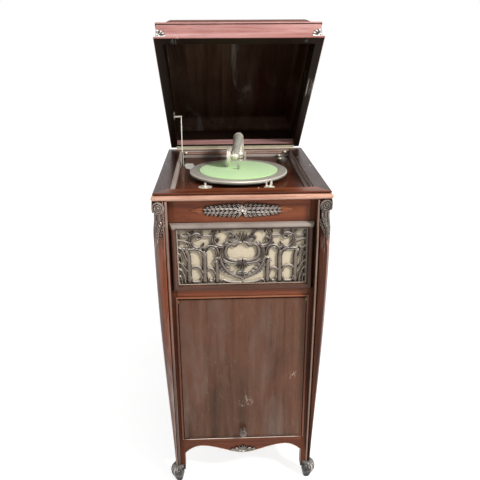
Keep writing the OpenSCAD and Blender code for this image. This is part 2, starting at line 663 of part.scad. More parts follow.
// Stepped beads where the motor board meets the walls of the well.
module well_lining() color("#4a2a1e") placed() translate([0, (rail_back + back_in) / 2, 0])
    mitred(inner_x, (back_in - rail_back) / 2, 8, 0, board_z, board_z + 9)
        polygon([[0, board_z], [-8, board_z], [-8, board_z + 3.5], [-5, board_z + 3.5],
            [-5, board_z + 7], [-2, board_z + 9], [0, board_z + 9]]);
slot_w = 2 * (stay_r + 2);
module motor_board() color("#4c2a1e") placed() difference() {
    translate([-inner_x, rail_back, board_low]) cube([2 * inner_x, back_in - rail_back, board_t]);
    translate([0, plat_y, board_low - 1]) cylinder(r = spindle_r + 5, h = board_t + 2);
    translate([arm_x, arm_y, board_low - 1]) cylinder(r = throat_r + run, h = board_t + 2);
    translate([-stay_x - slot_w / 2, stay_y - 14, board_low - 1])
        cube([slot_w, 136, board_t + 2]);
}
module board_cleats() color("#5b3a26") placed() {
    t = 18;
    translate([inner_x - t, -leg_in_y, board_low - t]) cube([t, 2 * leg_in_y, t]);
    translate([-inner_x, -leg_in_y, board_low - t]) cube([t, leg_in_y + stay_y - 24, t]);
    translate([-inner_x + 60, back_in - t, board_low - t]) cube([2 * inner_x - 120, t, t]);
}

// ---------- horn ----------

horn_front = front_y + fret_t + cloth_t;
horn_back = arm_y - 50;
function horn_half(mouth, throat, t) = mouth * pow(throat / mouth, pow(t, 0.85));
function horn_ring(t, wall) = let (y = horn_front + (horn_back - horn_front) * t,
        z = grille_mid + (throat_z - grille_mid) * t,
        a = horn_half(leg_in_x, throat_r + horn_wall - 3, t) - wall,
        b = horn_half(open_h / 2 + fret_in, throat_r + horn_wall - 3, t) - wall)
    [[-a, y, z - b], [a, y, z - b], [a, y, z + b], [-a, y, z + b]];
module horn() color("#6b4a30") placed() {
    n = 8;
    outer = [for (k = [0:n], p = horn_ring(k / n, 0)) p + [arm_x * k / n, 0, 0]];
    inner = [for (k = [0:n], p = horn_ring(k / n, horn_wall)) p + [arm_x * k / n, 0, 0]];
    m = 4 * (n + 1);
    polyhedron(points = concat(outer, inner), faces = concat(
        [for (k = [0:n - 1], i = [0:3]) let (a = 4 * k + i, b = 4 * k + (i + 1) % 4)
            [a, b, b + 4, a + 4]],
        [for (k = [0:n - 1], i = [0:3]) let (a = m + 4 * k + i, b = m + 4 * k + (i + 1) % 4)
            [a, a + 4, b + 4, b]],
        [for (i = [0:3]) let (j = (i + 1) % 4) [i, m + i, m + j, j]],
        [for (i = [0:3]) let (j = (i + 1) % 4, e = 4 * n) [e + i, e + j, m + e + j, m + e + i]]));
}
module horn_throat() color("#8f8f8a") placed() translate([arm_x, arm_y, 0]) union() {
    translate([0, 0, throat_z + 50]) difference() {
        cylinder(r = throat_r, h = board_z - throat_z - 50);
        translate([0, 0, -1]) cylinder(r = throat_r - throat_wall, h = board_z - throat_z);
    }
    translate([0, -50, throat_z + 50]) rotate([0, 0, 90]) rotate([90, 0, 0])
        mirror([0, 1, 0]) rotate_extrude(angle = 90) translate([50, 0]) difference() {
            circle(r = throat_r);
            circle(r = throat_r - throat_wall);
        }
}

// ---------- lid ----------

// Pieces of the lid are drawn closed, from the hinge line towards -Y.
module in_lid() placed() translate([0, hinge_y, hinge_z]) rotate([-lid_open, 0, 0]) children();
lid_mid = -hinge_in - lid_d / 2;
lid_rail_in = lid_bead + lid_rail_t;
module lid_ring(width, low, high) translate([0, lid_mid, lid_base])
    mitred(lid_w / 2, lid_d / 2, width, 0, low, high) children();
module lid_frame() color("#6b2f22") in_lid() lid_ring(lid_rail_in, 0, lid_rail_h)
    polygon(concat([[-lid_rail_in, 0], [-4, 0]], arc(-4, 4, 4, 4, -90, 90),
        [[-lid_bead, 9], [-lid_bead, lid_rail_h - 6], [-lid_bead + 2.5, lid_rail_h - 5],
         [-lid_bead + 2.5, lid_rail_h], [-lid_rail_in, lid_rail_h]]));
// The sloping sides rise in a hollow that turns into a rounded shoulder.
function slope(t) = t - 0.11 * sin(360 * t);
module lid_slopes() color("#5a2519") in_lid() {
    n = 12;
    foot = lid_bead + 12;
    lid_ring(lid_in, lid_rail_h, lid_h) polygon(concat(
        [for (k = [0:n]) let (t = k / n) [-lid_bead - lid_inset * t,
            lid_rail_h + (lid_h - lid_rail_h) * slope(t)]],
        [for (k = [n:-1:0]) let (t = k / n) [-foot - (lid_in - foot) * t,
            lid_rail_h + (lid_h - lid_rail_h - lid_shell) * slope(t)]]));
}
module lid_top() color("#4e2016") in_lid()
    translate([-lid_w / 2 + lid_in, lid_mid - lid_d / 2 + lid_in, lid_base + lid_h - lid_shell])
        cube([lid_w - 2 * lid_in, lid_d - 2 * lid_in, lid_shell]);
// Three small petals at each end of the lid's front rail.
module lid_corner_fans() color("#3a1a12") in_lid() both()
    translate([lid_w / 2 - lid_bead - 5, lid_mid - lid_d / 2 + lid_bead, lid_base + 14])
        rotate([90, 0, 0]) linear_extrude(2) for (a = [105, 135, 165])
            rotate(a) translate([5, 0]) leaf(16, 6);
module lid_buffers() color("#2a2220") in_lid() both()
    translate([lid_w / 2 - 50, lid_mid - lid_d / 2 + lid_rail_in / 2, gap - lid_base])
        cylinder(r = 5, h = lid_gap - gap);

// Piano hinge: knuckles alternate between the two leaves.
hinge_l = lid_w - 40;
knuckles = 2 * floor(hinge_l / knuckle_l / 2) + 1;
pitch = hinge_l / knuckles;
module hinge_half(odd, up) {
    leaf_w = back_t;
    for (i = [odd:2:knuckles - 1]) translate([-hinge_l / 2 + i * pitch + gap, 0, 0])
        rotate([0, 90, 0]) difference() {
            cylinder(r = knuckle_r, h = pitch - 2 * gap);
            translate([0, 0, -1]) cylinder(r = hinge_pin_r + run, h = pitch + 2);
        }
    low = up > 0 ? lid_base - leaf_t : -lid_base;
    tab_end = hinge_pin_r + run + 0.35;
    for (i = [odd:2:knuckles - 1]) translate([-hinge_l / 2 + i * pitch + gap, -hinge_in - 1, low])
        cube([pitch - 2 * gap, hinge_in + 1 - tab_end, leaf_t]);
    translate([-hinge_l / 2, -hinge_in - leaf_w, low]) cube([hinge_l, leaf_w, leaf_t]);
}
module lid_hinge_leaf() color("#c9c2a8") in_lid() hinge_half(1, 1);
module case_hinge_leaf() color("#c9c2a8") placed() translate([0, hinge_y, hinge_z]) {
    hinge_half(0, -1);
    rotate([0, 90, 0]) cylinder(r = hinge_pin_r, h = hinge_l, center = true);
}

// The stay hangs from a bracket on the lid's left wall; its foot runs in a slot.
module stay_bracket() color("#c9c2a8") in_lid()
    translate([0, -stay_reach, lid_base + stay_lift]) {
        wall = lid_w / 2 - lid_rail_in;
        translate([-wall, -8, -11]) cube([2, 16, 24]);
        rotate([0, 90, 0]) translate([0, 0, -wall + 2]) cylinder(r = 3.2, h = wall - 2 - stay_x - 2.6);
        rotate([0, 90, 0]) translate([0, 0, -wall + 2]) cylinder(r = 2, h = wall - 2 - stay_x + 2.6);
    }
stay_top = let (y = -stay_reach, z = lid_base + stay_lift)
    [hinge_y + y * cos(lid_open) + z * sin(lid_open), hinge_z - y * sin(lid_open) + z * cos(lid_open)];
stay_lean = atan((stay_top[0] - stay_y) / stay_len);
module stay_rod() color("#c9c2a8") placed() translate([-stay_x, stay_top[0], stay_top[1]])
    rotate([-stay_lean, 0, 0]) difference() {
        union() {
            translate([0, 0, -stay_len]) cylinder(r = stay_r, h = stay_len - 3);
            rotate([0, 90, 0]) cylinder(r = 4.2, h = 2 * stay_r, center = true);
        }
        rotate([0, 90, 0]) cylinder(r = 2 + run, h = 10, center = true);
    }
module stay_fork() color("#c9c2a8") placed() translate([-stay_x, stay_y, board_z]) {
    in = stay_r + gap + 0.1;
    for (s = [-1, 1]) {
        translate([s > 0 ? in : -in - 1.6, -9, 0]) cube([1.6, 18, 46]);
        translate([s > 0 ? in : -in - 3, -9, 0]) cube([3, 18, 2]);
    }
}

// ---------- motor ----------

frame_x = [barrel_pos[0] - barrel_mesh + 2, 84];
frame_y = [gov_y - 24, barrel_pos[1] + 50];
module motor_plate(z) translate([frame_x[0], frame_y[0], z])
    cube([frame_x[1] - frame_x[0], frame_y[1] - frame_y[0], plate_t]);
gov_a = -34;
gov_b = 76;
module motor_frame() color("#6d6f70") placed() difference() {
    union() {
        motor_plate(motor_top);
        motor_plate(motor_low - plate_t);
        for (x = frame_x, y = frame_y) translate([x - sign(x) * 7, y - sign(y) * 7, motor_low - 1])
            cylinder(r = 5, h = motor_h + plate_t + motor_drop + 1);
        for (x = [gov_a - 6, gov_b]) translate([x, gov_y - 5, motor_low - 1])
            cube([6, 10, gov_z - motor_low + 7]);
        translate([frame_x[1] - 8, barrel_pos[1] - wind_r - 5, wind_z - wind_r - 5])
            cube([8, 2 * wind_r + 10, motor_top - wind_z + wind_r + 6]);
    }
    for (p = [[0, plat_y, spindle_r], [inter_pos[0], inter_pos[1], arbor_r],
        [barrel_pos[0], barrel_pos[1], arbor_r]])
        translate([p[0], p[1], motor_low - plate_t - 1])
            cylinder(r = p[2] + run, h = motor_h + 2 * plate_t + 2);
    translate([gov_a - 8, gov_y, gov_z]) rotate([0, 90, 0]) cylinder(r = gov_r + run, h = 140);
    translate([frame_x[1] - 9, barrel_pos[1], wind_z]) rotate([0, 90, 0])
        cylinder(r = wind_r - 1 + run, h = 12);
}
module turntable() color("#a8a59a") placed() translate([0, plat_y, plat_z]) difference() {
    rotate_extrude($fn = 96) polygon([[0, -platter_t], [platter_d / 2 - 9, -platter_t],
        [platter_d / 2 - 5, -platter_h + 1], [platter_d / 2 - 4, -platter_h],
        [platter_d / 2 - 1, -platter_h], [platter_d / 2, -platter_h + 1.5],
        [platter_d / 2, -2], [platter_d / 2 - 2, 0], [0, 0]]);
    translate([0, 0, -platter_t - 1]) cylinder(r = collar_r + run, h = platter_t + 2);
}
module felt_mat() color("#8fae7c") placed() translate([0, plat_y, mat_z]) difference() {
    cylinder(d = mat_d, h = mat_t);
    translate([0, 0, -1]) cylinder(r = collar_r + run, h = mat_t + 2);
}
// The spindle carries the driven pinion and the wheel that turns the governor.
module spindle() color("#b9b9b4") placed() translate([0, plat_y, 0]) union() {
    translate([0, 0, motor_low - plate_t]) cylinder(r = spindle_r,
        h = plat_z - platter_t - motor_low + plate_t);
    translate([0, 0, plat_z - platter_t - 1]) cylinder(r = collar_r,
        h = mat_top + 2 * run - plat_z + platter_t + 1);
    translate([0, 0, mat_top]) cylinder(r = spindle_tip_r, h = spindle_up - spindle_tip_r);
    translate([0, 0, mat_top + spindle_up - spindle_tip_r]) sphere(r = spindle_tip_r);
    translate([0, 0, wheel_z - 2]) gear(pinion_teeth, wheel_module, 8);
    translate([0, 0, gov_z - 4]) gear(gov_teeth, 1, 8);
}
inter_turn = mesh_turn(pinion_teeth, 0, wheel_teeth, inter_dir);
module intermediate_gear() color("#b08d4f") placed()
    translate([inter_pos[0], inter_pos[1], 0]) union() {
        translate([0, 0, motor_low - plate_t]) cylinder(r = arbor_r, h = motor_h + 2 * plate_t);
        translate([0, 0, wheel_z]) rotate(inter_turn) gear(wheel_teeth, wheel_module, 4);
        translate([0, 0, drum_top - 2]) rotate(inter_turn)
            gear(pinion_teeth, barrel_module, barrel_gear_t + 4);
    }
module spring_barrel() color("#9a9a94") placed()
    translate([barrel_pos[0], barrel_pos[1], 0]) difference() {
        union() {
            translate([0, 0, drum_low]) cylinder(r = barrel_r, h = drum_h + 1);
            translate([0, 0, drum_top])
                rotate(mesh_turn(pinion_teeth, inter_turn, barrel_teeth, barrel_dir))
                    gear(barrel_teeth, barrel_module, barrel_gear_t);
        }
        translate([0, 0, drum_low - 1]) cylinder(r = arbor_r + run, h = drum_h + 10);
    }
module winding_gear() color("#9a9a94") placed()
    translate([barrel_pos[0], barrel_pos[1], 0]) union() {
        translate([0, 0, motor_low - plate_t]) cylinder(r = arbor_r, h = motor_h + 2 * plate_t);
        translate([0, 0, crown_z]) cylinder(r = crown_r, h = 4);
        for (i = [0:29]) rotate(i * 12) translate([crown_r - 7, -1, crown_z - crown_tooth])
            cube([6, 2, crown_tooth + 1]);
    }
module winding_shaft() color("#9a9a94") placed()
    translate([0, barrel_pos[1], wind_z]) rotate([0, 90, 0]) difference() {
        union() {
            translate([0, 0, barrel_pos[0] + crown_r - 7]) gear(pinion_teeth, wheel_module, 6);
            translate([0, 0, barrel_pos[0] + crown_r - 2]) cylinder(r = 4.5,
                h = frame_x[1] - 8 - gap - barrel_pos[0] - crown_r + 2);
            translate([0, 0, frame_x[1] - 9]) cylinder(r = wind_r - 1, h = 9 + gap);
            translate([0, 0, frame_x[1] + gap]) cylinder(r = wind_r,
                h = side_x + crank_out - frame_x[1] - gap);
        }
        translate([0, 0, side_x + crank_out - crank_depth]) cylinder(r = crank_r, h = crank_depth + 1);
    }
module crank_escutcheon() color("#c9c2a8") placed()
    translate([side_x, barrel_pos[1], wind_z]) rotate([0, 90, 0]) difference() {
        union() {
            cylinder(r = 19, h = 2);
            cylinder(r = wind_r + 3, h = 3.5);
        }
        translate([0, 0, -1]) cylinder(r = wind_r + run, h = 6);
    }
// Two spring arms with a weight each turn with the governor's friction disc.
module governor() color("#b08d4f") placed() translate([0, gov_y, gov_z]) rotate([0, 90, 0])
    union() {
        translate([0, 0, gov_a - 6]) cylinder(r = gov_r, h = gov_b + 12 - gov_a);
        translate([0, 0, -9]) cylinder(r = worm_r - 1, h = 18);
        for (i = [0:4]) translate([0, 0, -9 + i * 4]) cylinder(r = worm_r, h = 2);
        translate([0, 0, 62]) cylinder(r = 15, h = 2.5);
        translate([0, 0, 28]) cylinder(r = 5, h = 4);
        translate([0, 0, 54]) cylinder(r = 5, h = 9);
        for (s = [-1, 1]) {
            translate([s * 13, 0, 43]) sphere(r = 5);
            translate([s * 13, 0, 28.5]) cylinder(r = 1, h = 30, $fn = 24);
            for (z = [28.5, 56.5]) translate([s * 9 - 5, -1.5, z]) cube([10, 3, 2]);
        }
    }

// ---------- controls in the well ----------

// The speed knob and the brake stand just outside the turntable's edge.
function beside(dir, away) = [0, plat_y] + (platter_d / 2 + away) * [cos(dir), sin(dir)];
speed_pos = beside(232.45, 16.5);
brake_pos = beside(300.55, 14.7);
module control_plates() color("#c9c2a8") placed() {
    translate([speed_pos[0], speed_pos[1], board_z]) difference() {
        cylinder(r = 20, h = 2.5);
        translate([0, 0, -1]) cylinder(r = 3 + run, h = 5);
    }
    translate([brake_pos[0], brake_pos[1], board_z]) difference() {
        cylinder(r = 16, h = 2);
        translate([0, 0, -1]) cylinder(r = 3 + run, h = 5);
    }
}
module speed_knob() color("#c9c2a8") placed()
    translate([speed_pos[0], speed_pos[1], board_z]) union() {
        cylinder(r = 3, h = 4);
        translate([0, 0, 2.5 + gap]) cylinder(r = 8, h = 3);
        translate([0, 0, 5]) cylinder(r = 3.5, h = 9);
    }
// The brake's felt pad stands against the turntable's edge; the lever turns it away.
pad_r = 4;
pad_reach = 18;
brake_away = norm([brake_pos[0], brake_pos[1] - plat_y]);
pad_away = platter_d / 2 + gap + pad_r;
brake_dir = atan2(plat_y - brake_pos[1], -brake_pos[0])
    - acos((brake_away * brake_away + pad_reach * pad_reach - pad_away * pad_away)
        / (2 * brake_away * pad_reach));
module brake_lever() color("#c9c2a8") placed()
    translate([brake_pos[0], brake_pos[1], board_z]) union() {
        cylinder(r = 3, h = 3);
        translate([0, 0, 2 + gap]) cylinder(r = 7, h = 3);
        rotate(brake_dir) translate([0, -3, 2 + gap]) cube([pad_reach, 6, 3]);
        rotate(brake_dir) translate([pad_reach, 0, 2 + gap]) cylinder(r = pad_r, h = 15);
        translate([-9, -3, 2 + gap]) cube([9, 6, 3]);
        translate([-9, 0, 2 + gap]) cylinder(r = 3, h = 13);
    }
cup_pos = [[inner_x - 37, back_in - 37], [inner_x - 39, back_in - 89]];
module needle_cups() color("#c9c2a8") placed() for (p = cup_pos)
    translate([p[0], p[1], board_z]) rotate_extrude() polygon([[0, 0], [15, 0], [17.5, 9], [19, 10],
        [19, 11.5], [16.5, 11.5], [13.5, 2], [0, 2]]);
module stop_plate() color("#d2d0c6") placed() translate([0, 0, board_z]) linear_extrude(2)
    polygon([[-178, 146], [-172, 172], [-151, 171], [-142, 130], [-154, 85], [-171, 102]]);

// ---------- tonearm ----------

module in_arm() placed() translate([arm_x, arm_y, 0]) rotate([0, 0, -arm_turn]) children();
sleeve_r = throat_r - throat_wall - 0.5;
module tonearm_base() color("#c9c2a8") placed() translate([arm_x, arm_y, board_z]) difference() {
    rotate_extrude() polygon([[0, 0], [36, 0], [36, 2], [33, 3.5], [27, 4.5], [25, 7], [0, 7]]);
    translate([0, 0, -1]) cylinder(r = sleeve_r + run, h = 10);
}
module tonearm_turret() color("#c9c2a8") in_arm() difference() {
    union() {
        translate([0, 0, board_z + 7 + gap]) cylinder(r = 25, h = 4);
        translate([0, 0, board_z + 1]) cylinder(r = sleeve_r, h = 8);
        for (s = [-1, 1]) translate([s > 0 ? ball_r + 0.8 : -ball_r - 5.3, -6, board_z + 8 + gap])
            cube([4.5, 12, ball_up]);
    }
    translate([0, 0, board_z]) cylinder(r = 9, h = 14);
    translate([0, 0, ball_z]) rotate([0, 90, 0]) cylinder(r = 2.5 + run, h = 60, center = true);
}
module tonearm() color("#b5b2a6") in_arm() union() {
    translate([0, 0, ball_z]) sphere(r = ball_r);
    translate([0, 0, ball_z]) rotate([0, 90, 0]) cylinder(r = 2.5, h = 2 * ball_r + 10, center = true);
    translate([0, 0, ball_z + 3]) cylinder(r = arm_r, h = bend_z - ball_z - 3);
    translate([0, -arm_bend, bend_z]) rotate([0, 0, 90]) rotate([90, 0, 0])
        rotate_extrude(angle = 90 + arm_fall) translate([arm_bend, 0]) circle(r = arm_r);
    // a thin collar joins the bend and the taper
    translate([0, -arm_bend * (1 + sin(arm_fall)), bend_z + arm_bend * cos(arm_fall)])
        rotate([90 + arm_fall, 0, 0]) {
            translate([0, 0, -2]) cylinder(r = arm_r + 0.8, h = 4);
            cylinder(r1 = arm_r, r2 = arm_tip_r,
                h = (arm_len - arm_bend * (1 + sin(arm_fall))) / cos(arm_fall));
        }
    translate([0, -arm_len, box_z]) sphere(r = arm_tip_r + 1.5);
    translate([0, -arm_len, box_z]) rotate([0, -90, 0]) cylinder(r = 8, h = box_in + 5);
}
module sound_box() color("#b5b2a6") in_arm() translate([-box_in, -arm_len, box_z])
    rotate([0, -90, 0]) difference() {
        rotate_extrude($fn = 72) polygon([[0, 2.5], [11, 2.5], [11, gap], [14, gap], [14, 2.5],
            [box_r - 3, 2.5], [box_r - 1.5, 0.8], [box_r, 2.5], [box_r, box_t - 1.5],
            [box_r - 1.5, box_t], [box_r - 5, box_t], [box_r - 6, box_t - 3], [0, box_t - 4]]);
        cylinder(r = 8 + run, h = 5.3);
    }
// A lever from the centre of the diaphragm carries the needle at the rim.
module stylus_bar() color("#b5b2a6") in_arm() translate([-box_in - box_t, -arm_len, box_z]) {
    drop = box_z - mat_top - needle_up;
    lean = atan2(8, drop - box_r + 3);
    translate([0, -2, -box_r - 2]) mirror([1, 0, 0]) cube([2.5, 4, box_r + 3]);
    rotate([0, 90, 0]) translate([0, 0, -4]) cylinder(r = 2.5, h = 7.8);
    translate([-2.8, 0, -box_r + 3]) rotate([180 - lean, 0, 0]) {
        translate([0, 0, -2]) cylinder(r = 2.6, h = 7);
        cylinder(r1 = 1, r2 = 0.3, h = norm([8, drop - box_r + 3]));
    }
}

leg_front_left();
leg_front_right();
leg_rear_left();
leg_rear_right();
side_panel_left();
side_panel_right();
back_panel();
bottom_board();
frieze_rail();
frieze_carving();
mid_rail();
grille_frame();
grille_fretwork();
grille_cloth();
door_opening_bead();
front_apron();
apron_carving();
case_rim();
top_moulding();
well_lining();
motor_board();
board_cleats();
divider_shelf();
record_shelf();
horn();
horn_throat();
door_panel();
door_knob();
door_pivot_pins();
door_pivot_plates();
lid_frame();
lid_slopes();
lid_top();
lid_corner_fans();
lid_buffers();
lid_hinge_leaf();
case_hinge_leaf();
stay_bracket();
stay_rod();
stay_fork();
motor_frame();
turntable();
felt_mat();
spindle();
intermediate_gear();
spring_barrel();
governor();
winding_shaft();
winding_gear();
crank_escutcheon();
brake_lever();
speed_knob();
control_plates();
tonearm_base();
tonearm_turret();
tonearm();
sound_box();
stylus_bar();
needle_cups();
stop_plate();
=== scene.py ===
"""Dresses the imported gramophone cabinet: lacquered wood, carving, speaker cloth, felt and metal."""

import json
import math

import bmesh
import bpy
from mathutils import Matrix, Vector


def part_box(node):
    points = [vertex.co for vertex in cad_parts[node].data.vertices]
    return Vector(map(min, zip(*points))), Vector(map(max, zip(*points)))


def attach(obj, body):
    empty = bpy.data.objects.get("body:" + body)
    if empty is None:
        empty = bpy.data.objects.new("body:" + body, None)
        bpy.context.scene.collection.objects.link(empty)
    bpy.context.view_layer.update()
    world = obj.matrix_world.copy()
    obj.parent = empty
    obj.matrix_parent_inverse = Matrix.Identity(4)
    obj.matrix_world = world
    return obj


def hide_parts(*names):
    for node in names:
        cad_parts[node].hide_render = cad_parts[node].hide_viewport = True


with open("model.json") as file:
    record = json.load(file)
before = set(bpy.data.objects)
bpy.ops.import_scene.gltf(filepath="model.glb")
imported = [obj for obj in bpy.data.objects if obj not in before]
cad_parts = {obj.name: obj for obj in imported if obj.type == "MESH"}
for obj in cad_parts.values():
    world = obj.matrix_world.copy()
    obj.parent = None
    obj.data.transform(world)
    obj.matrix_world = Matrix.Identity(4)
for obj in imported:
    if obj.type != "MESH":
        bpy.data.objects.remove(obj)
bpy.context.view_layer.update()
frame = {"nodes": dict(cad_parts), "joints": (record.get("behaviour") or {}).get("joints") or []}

bl_info = {
    "name": "Gramophone Cabinet",
    "version": (1, 0, 0),
    "blender": (4, 5, 0),
    "location": "3D View > Sidebar > Gramophone",
    "description": "Carved legs, pierced grille, cloth, felt and metal fittings round the packed cabinet",
    "category": "Object",
}

MM = 0.001


def joint(name):
    """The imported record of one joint."""
    return next(row for row in frame["joints"] if row["name"] == name)


def box_mm(node):
    """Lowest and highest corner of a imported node, in millimetres."""
    low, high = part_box(node)
    return low / MM, high / MM


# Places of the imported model, in millimetres, measured from the middle of the case.
PLATTER_AHEAD = 6
SHIFT = sum(corner.y for corner in box_mm("turntable")) / 2 + PLATTER_AHEAD
MOULD_Z = box_mm("top_moulding")[0].z
RIM_Z = box_mm("case_rim")[1].z
BOARD_Z = box_mm("motor_board")[1].z
FRONT_Y = box_mm("mid_rail")[0].y - SHIFT
BACK_Y = box_mm("back_panel")[1].y - SHIFT
INNER_X = box_mm("bottom_board")[1].x
GRILLE_MID = sum(corner.z for corner in box_mm("grille_frame")) / 2
HINGE = Vector(joint("lid_hinge")["pos_m"])
LID_OPEN = math.radians(joint("lid_hinge")["range_deg"][1])
# Half width and depth of the lid, the height and width of its rails, and where its slopes end.
LID_HALF = (232, 290)
LID_RAIL, LID_RAIL_IN, LID_INSET, LID_ROOF = 57.85, 24, 56, 100.85
# A leg: its inner corner, its widths and their heights, its flats and beads, and its round post.
LEG_IN_X, LEG_IN_Y = box_mm("mid_rail")[1].x, 240.5
LEG_W, ANKLE_W, ANKLE_Z, KNEE_Z, NECK_IN = 59, 31, 66, MOULD_Z - 118, 4
STILE, STILE_FLAT, LEG_BEAD = 26, 16, 4
POST_AT = STILE_FLAT + 2 * LEG_BEAD + 4
POST_SUNK = 4.6
SHIN_Z = box_mm("bottom_board")[0].z - 14
# How far carved pieces reach into the wood under them.
SEAT = -0.3


def spot(x, y, z):
    """A point of the drawing, in the frame."""
    return Vector((x, y + SHIFT, z)) * MM


def on_front(x, z, out):
    """A point that stands out from the plane of the front rails."""
    return spot(x, FRONT_Y - out, z)


def mirrored(side, z_mid, spread=1.0):
    """Places points of a drawing on the front, mirrored on the left side."""
    return lambda x, z, out: on_front(side * x * spread, z_mid + z, out)


def in_lid(x, y, z):
    """A point of the closed lid, y back from the hinge line, turned open."""
    return HINGE + Matrix.Rotation(-LID_OPEN, 3, "X") @ (Vector((x, y, z)) * MM)


# ---------- sizes and colours that a user would change ----------


class GramophoneSizes(bpy.types.PropertyGroup):
    """Sizes of the carving, in metres."""

    fret_rise: bpy.props.FloatProperty(
        name="Fretwork depth", description="How far the scrolls of the grille stand up",
        default=0.0085, unit="LENGTH")
    carving_rise: bpy.props.FloatProperty(
        name="Carving depth", description="How far the leaves of the sprays stand up",
        default=0.0050, unit="LENGTH")
    knee_leaf_rise: bpy.props.FloatProperty(
        name="Knee leaf depth", description="How far the leaves on the knees stand up",
        default=0.0045, unit="LENGTH")


class GramophoneColours(bpy.types.PropertyGroup):
    """Colours of the finishes."""

    wood_dark: bpy.props.FloatVectorProperty(
        name="Wood, dark streaks", description="Dark of the mahogany",
        subtype="COLOR", default=(0.026, 0.0062, 0.0028))
    wood_warm: bpy.props.FloatVectorProperty(
        name="Wood", description="Middle tone of the mahogany",
        subtype="COLOR", default=(0.115, 0.027, 0.0105))
    wood_light: bpy.props.FloatVectorProperty(
        name="Wood, light streaks", description="Light of the mahogany",
        subtype="COLOR", default=(0.235, 0.068, 0.026))
    carved: bpy.props.FloatVectorProperty(
        name="Carved wood", description="Faded gilt and wax on the carving",
        subtype="COLOR", default=(0.085, 0.055, 0.036))
    cloth: bpy.props.FloatVectorProperty(
        name="Speaker cloth", description="Cloth behind the grille",
        subtype="COLOR", default=(0.55, 0.468, 0.34))
    felt: bpy.props.FloatVectorProperty(
        name="Felt", description="Mat on the turntable",
        subtype="COLOR", default=(0.40, 0.66, 0.24))
    nickel: bpy.props.FloatVectorProperty(
        name="Nickel", description="Plated fittings",
        subtype="COLOR", default=(0.78, 0.74, 0.64))


class GramophoneStudio(bpy.types.PropertyGroup):
    """Light and camera."""

    key_power: bpy.props.FloatProperty(
        name="Key light", description="Power of the light on the right",
        default=110.0, unit="POWER")
    fill_power: bpy.props.FloatProperty(
        name="Fill light", description="Power of the light on the left",
        default=14.0, unit="POWER")
    sky: bpy.props.FloatProperty(
        name="Room light", description="Strength of the light from all round",
        default=0.26)
    lens: bpy.props.FloatProperty(
        name="Lens", description="Focal length in millimetres",
        default=42.94)


# ---------- meshes ----------


class Form:
    """Points and faces of one piece."""

    def __init__(self):
        self.points, self.faces = [], []

    def add(self, points, faces):
        start = len(self.points)
        self.points += points
        self.faces += [[start + i for i in face] for face in faces]

    def loft(self, rings, ends=True, round_trip=True):
        """Skins a row of closed rings."""
        n = len(rings[0])
        around = n if round_trip else n - 1
        faces = [[j * n + i, j * n + (i + 1) % n, (j + 1) * n + (i + 1) % n, (j + 1) * n + i]
            for j in range(len(rings) - 1) for i in range(around)]
        if ends:
            faces += [list(range(n))[::-1], [(len(rings) - 1) * n + i for i in range(n)]]
        self.add([p for ring in rings for p in ring], faces)

    def slab(self, low, high, place):
        """A block between two corners."""
        corners = [place(*(high[k] if bits >> k & 1 else low[k] for k in range(3))) for bits in range(8)]
        self.add(
            corners, [[0, 2, 3, 1], [4, 5, 7, 6], [0, 1, 5, 4], [2, 6, 7, 3], [0, 4, 6, 2], [1, 3, 7, 5]]
        )

    def make(self, name, finish, body, slot, stands_for=(), angle=38, trim=()):
        """Turns the form into a piece that rides on a body.

        Trim is more finishes, and a function that says which of them each face gets."""
        mesh = bpy.data.meshes.new(name)
        mesh.from_pydata(self.points, [], self.faces)
        finishes = [finish]
        if trim:
            finishes += trim[0]
            for index, face in enumerate(mesh.polygons):
                face.material_index = int(trim[1](index))
        work = bmesh.new()
        work.from_mesh(mesh)
        bmesh.ops.remove_doubles(work, verts=work.verts, dist=0.004 * MM)
        bmesh.ops.dissolve_degenerate(work, edges=work.edges, dist=0.002 * MM)
        bmesh.ops.recalc_face_normals(work, faces=work.faces)
        work.to_mesh(mesh)
        work.free()
        mesh.shade_smooth()
        mesh.set_sharp_from_angle(angle=math.radians(angle))
        piece = bpy.data.objects.new(name, mesh)
        bpy.context.scene.collection.objects.link(piece)
        for one in finishes:
            mesh.materials.append(looks()[one])
        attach(piece, body)
        if stands_for:
            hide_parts(*stands_for)
        return piece


def smooth(points, steps):
    """Points along a smooth curve through a few points."""
    last = len(points) - 1
    line = []
    for i in range(last):
        a, b, c, d = (Vector(points[min(max(k, 0), last)]) for k in (i - 1, i, i + 1, i + 2))
        for k in range(steps):
            t = k / steps
            second, third = 2 * a - 5 * b + 4 * c - d, 3 * b - a - 3 * c + d
            line.append((2 * b + (c - a) * t + second * t * t + third * t ** 3) / 2)
    return line + [Vector(points[-1])]


CHAMFERED = ((-0.6, 0), (-1, 0.4), (-0.97, 0.6), (-0.8, 0.8), (-0.48, 0.94), (0, 1), (0.48, 0.94), (0.8, 0.8),
    (0.97, 0.6), (1, 0.4), (0.6, 0))
GROOVED = ((-1, 0), (-1, 0.42), (-0.84, 0.82), (-0.48, 1), (-0.14, 0.8), (0.14, 0.8), (0.48, 1), (0.84, 0.82),
    (1, 0.42), (1, 0))
ROUND = ((-1, 0), (-1, 0.45), (-0.8, 0.78), (-0.4, 0.96), (0, 1), (0.4, 0.96), (0.8, 0.78), (1, 0.45), (1, 0))
VEINED = ((-1, 0), (-0.94, 0.35), (-0.55, 0.95), (-0.15, 0.72), (0, 0.45), (0.15, 0.72), (0.55, 0.95),
    (0.94, 0.35), (1, 0))


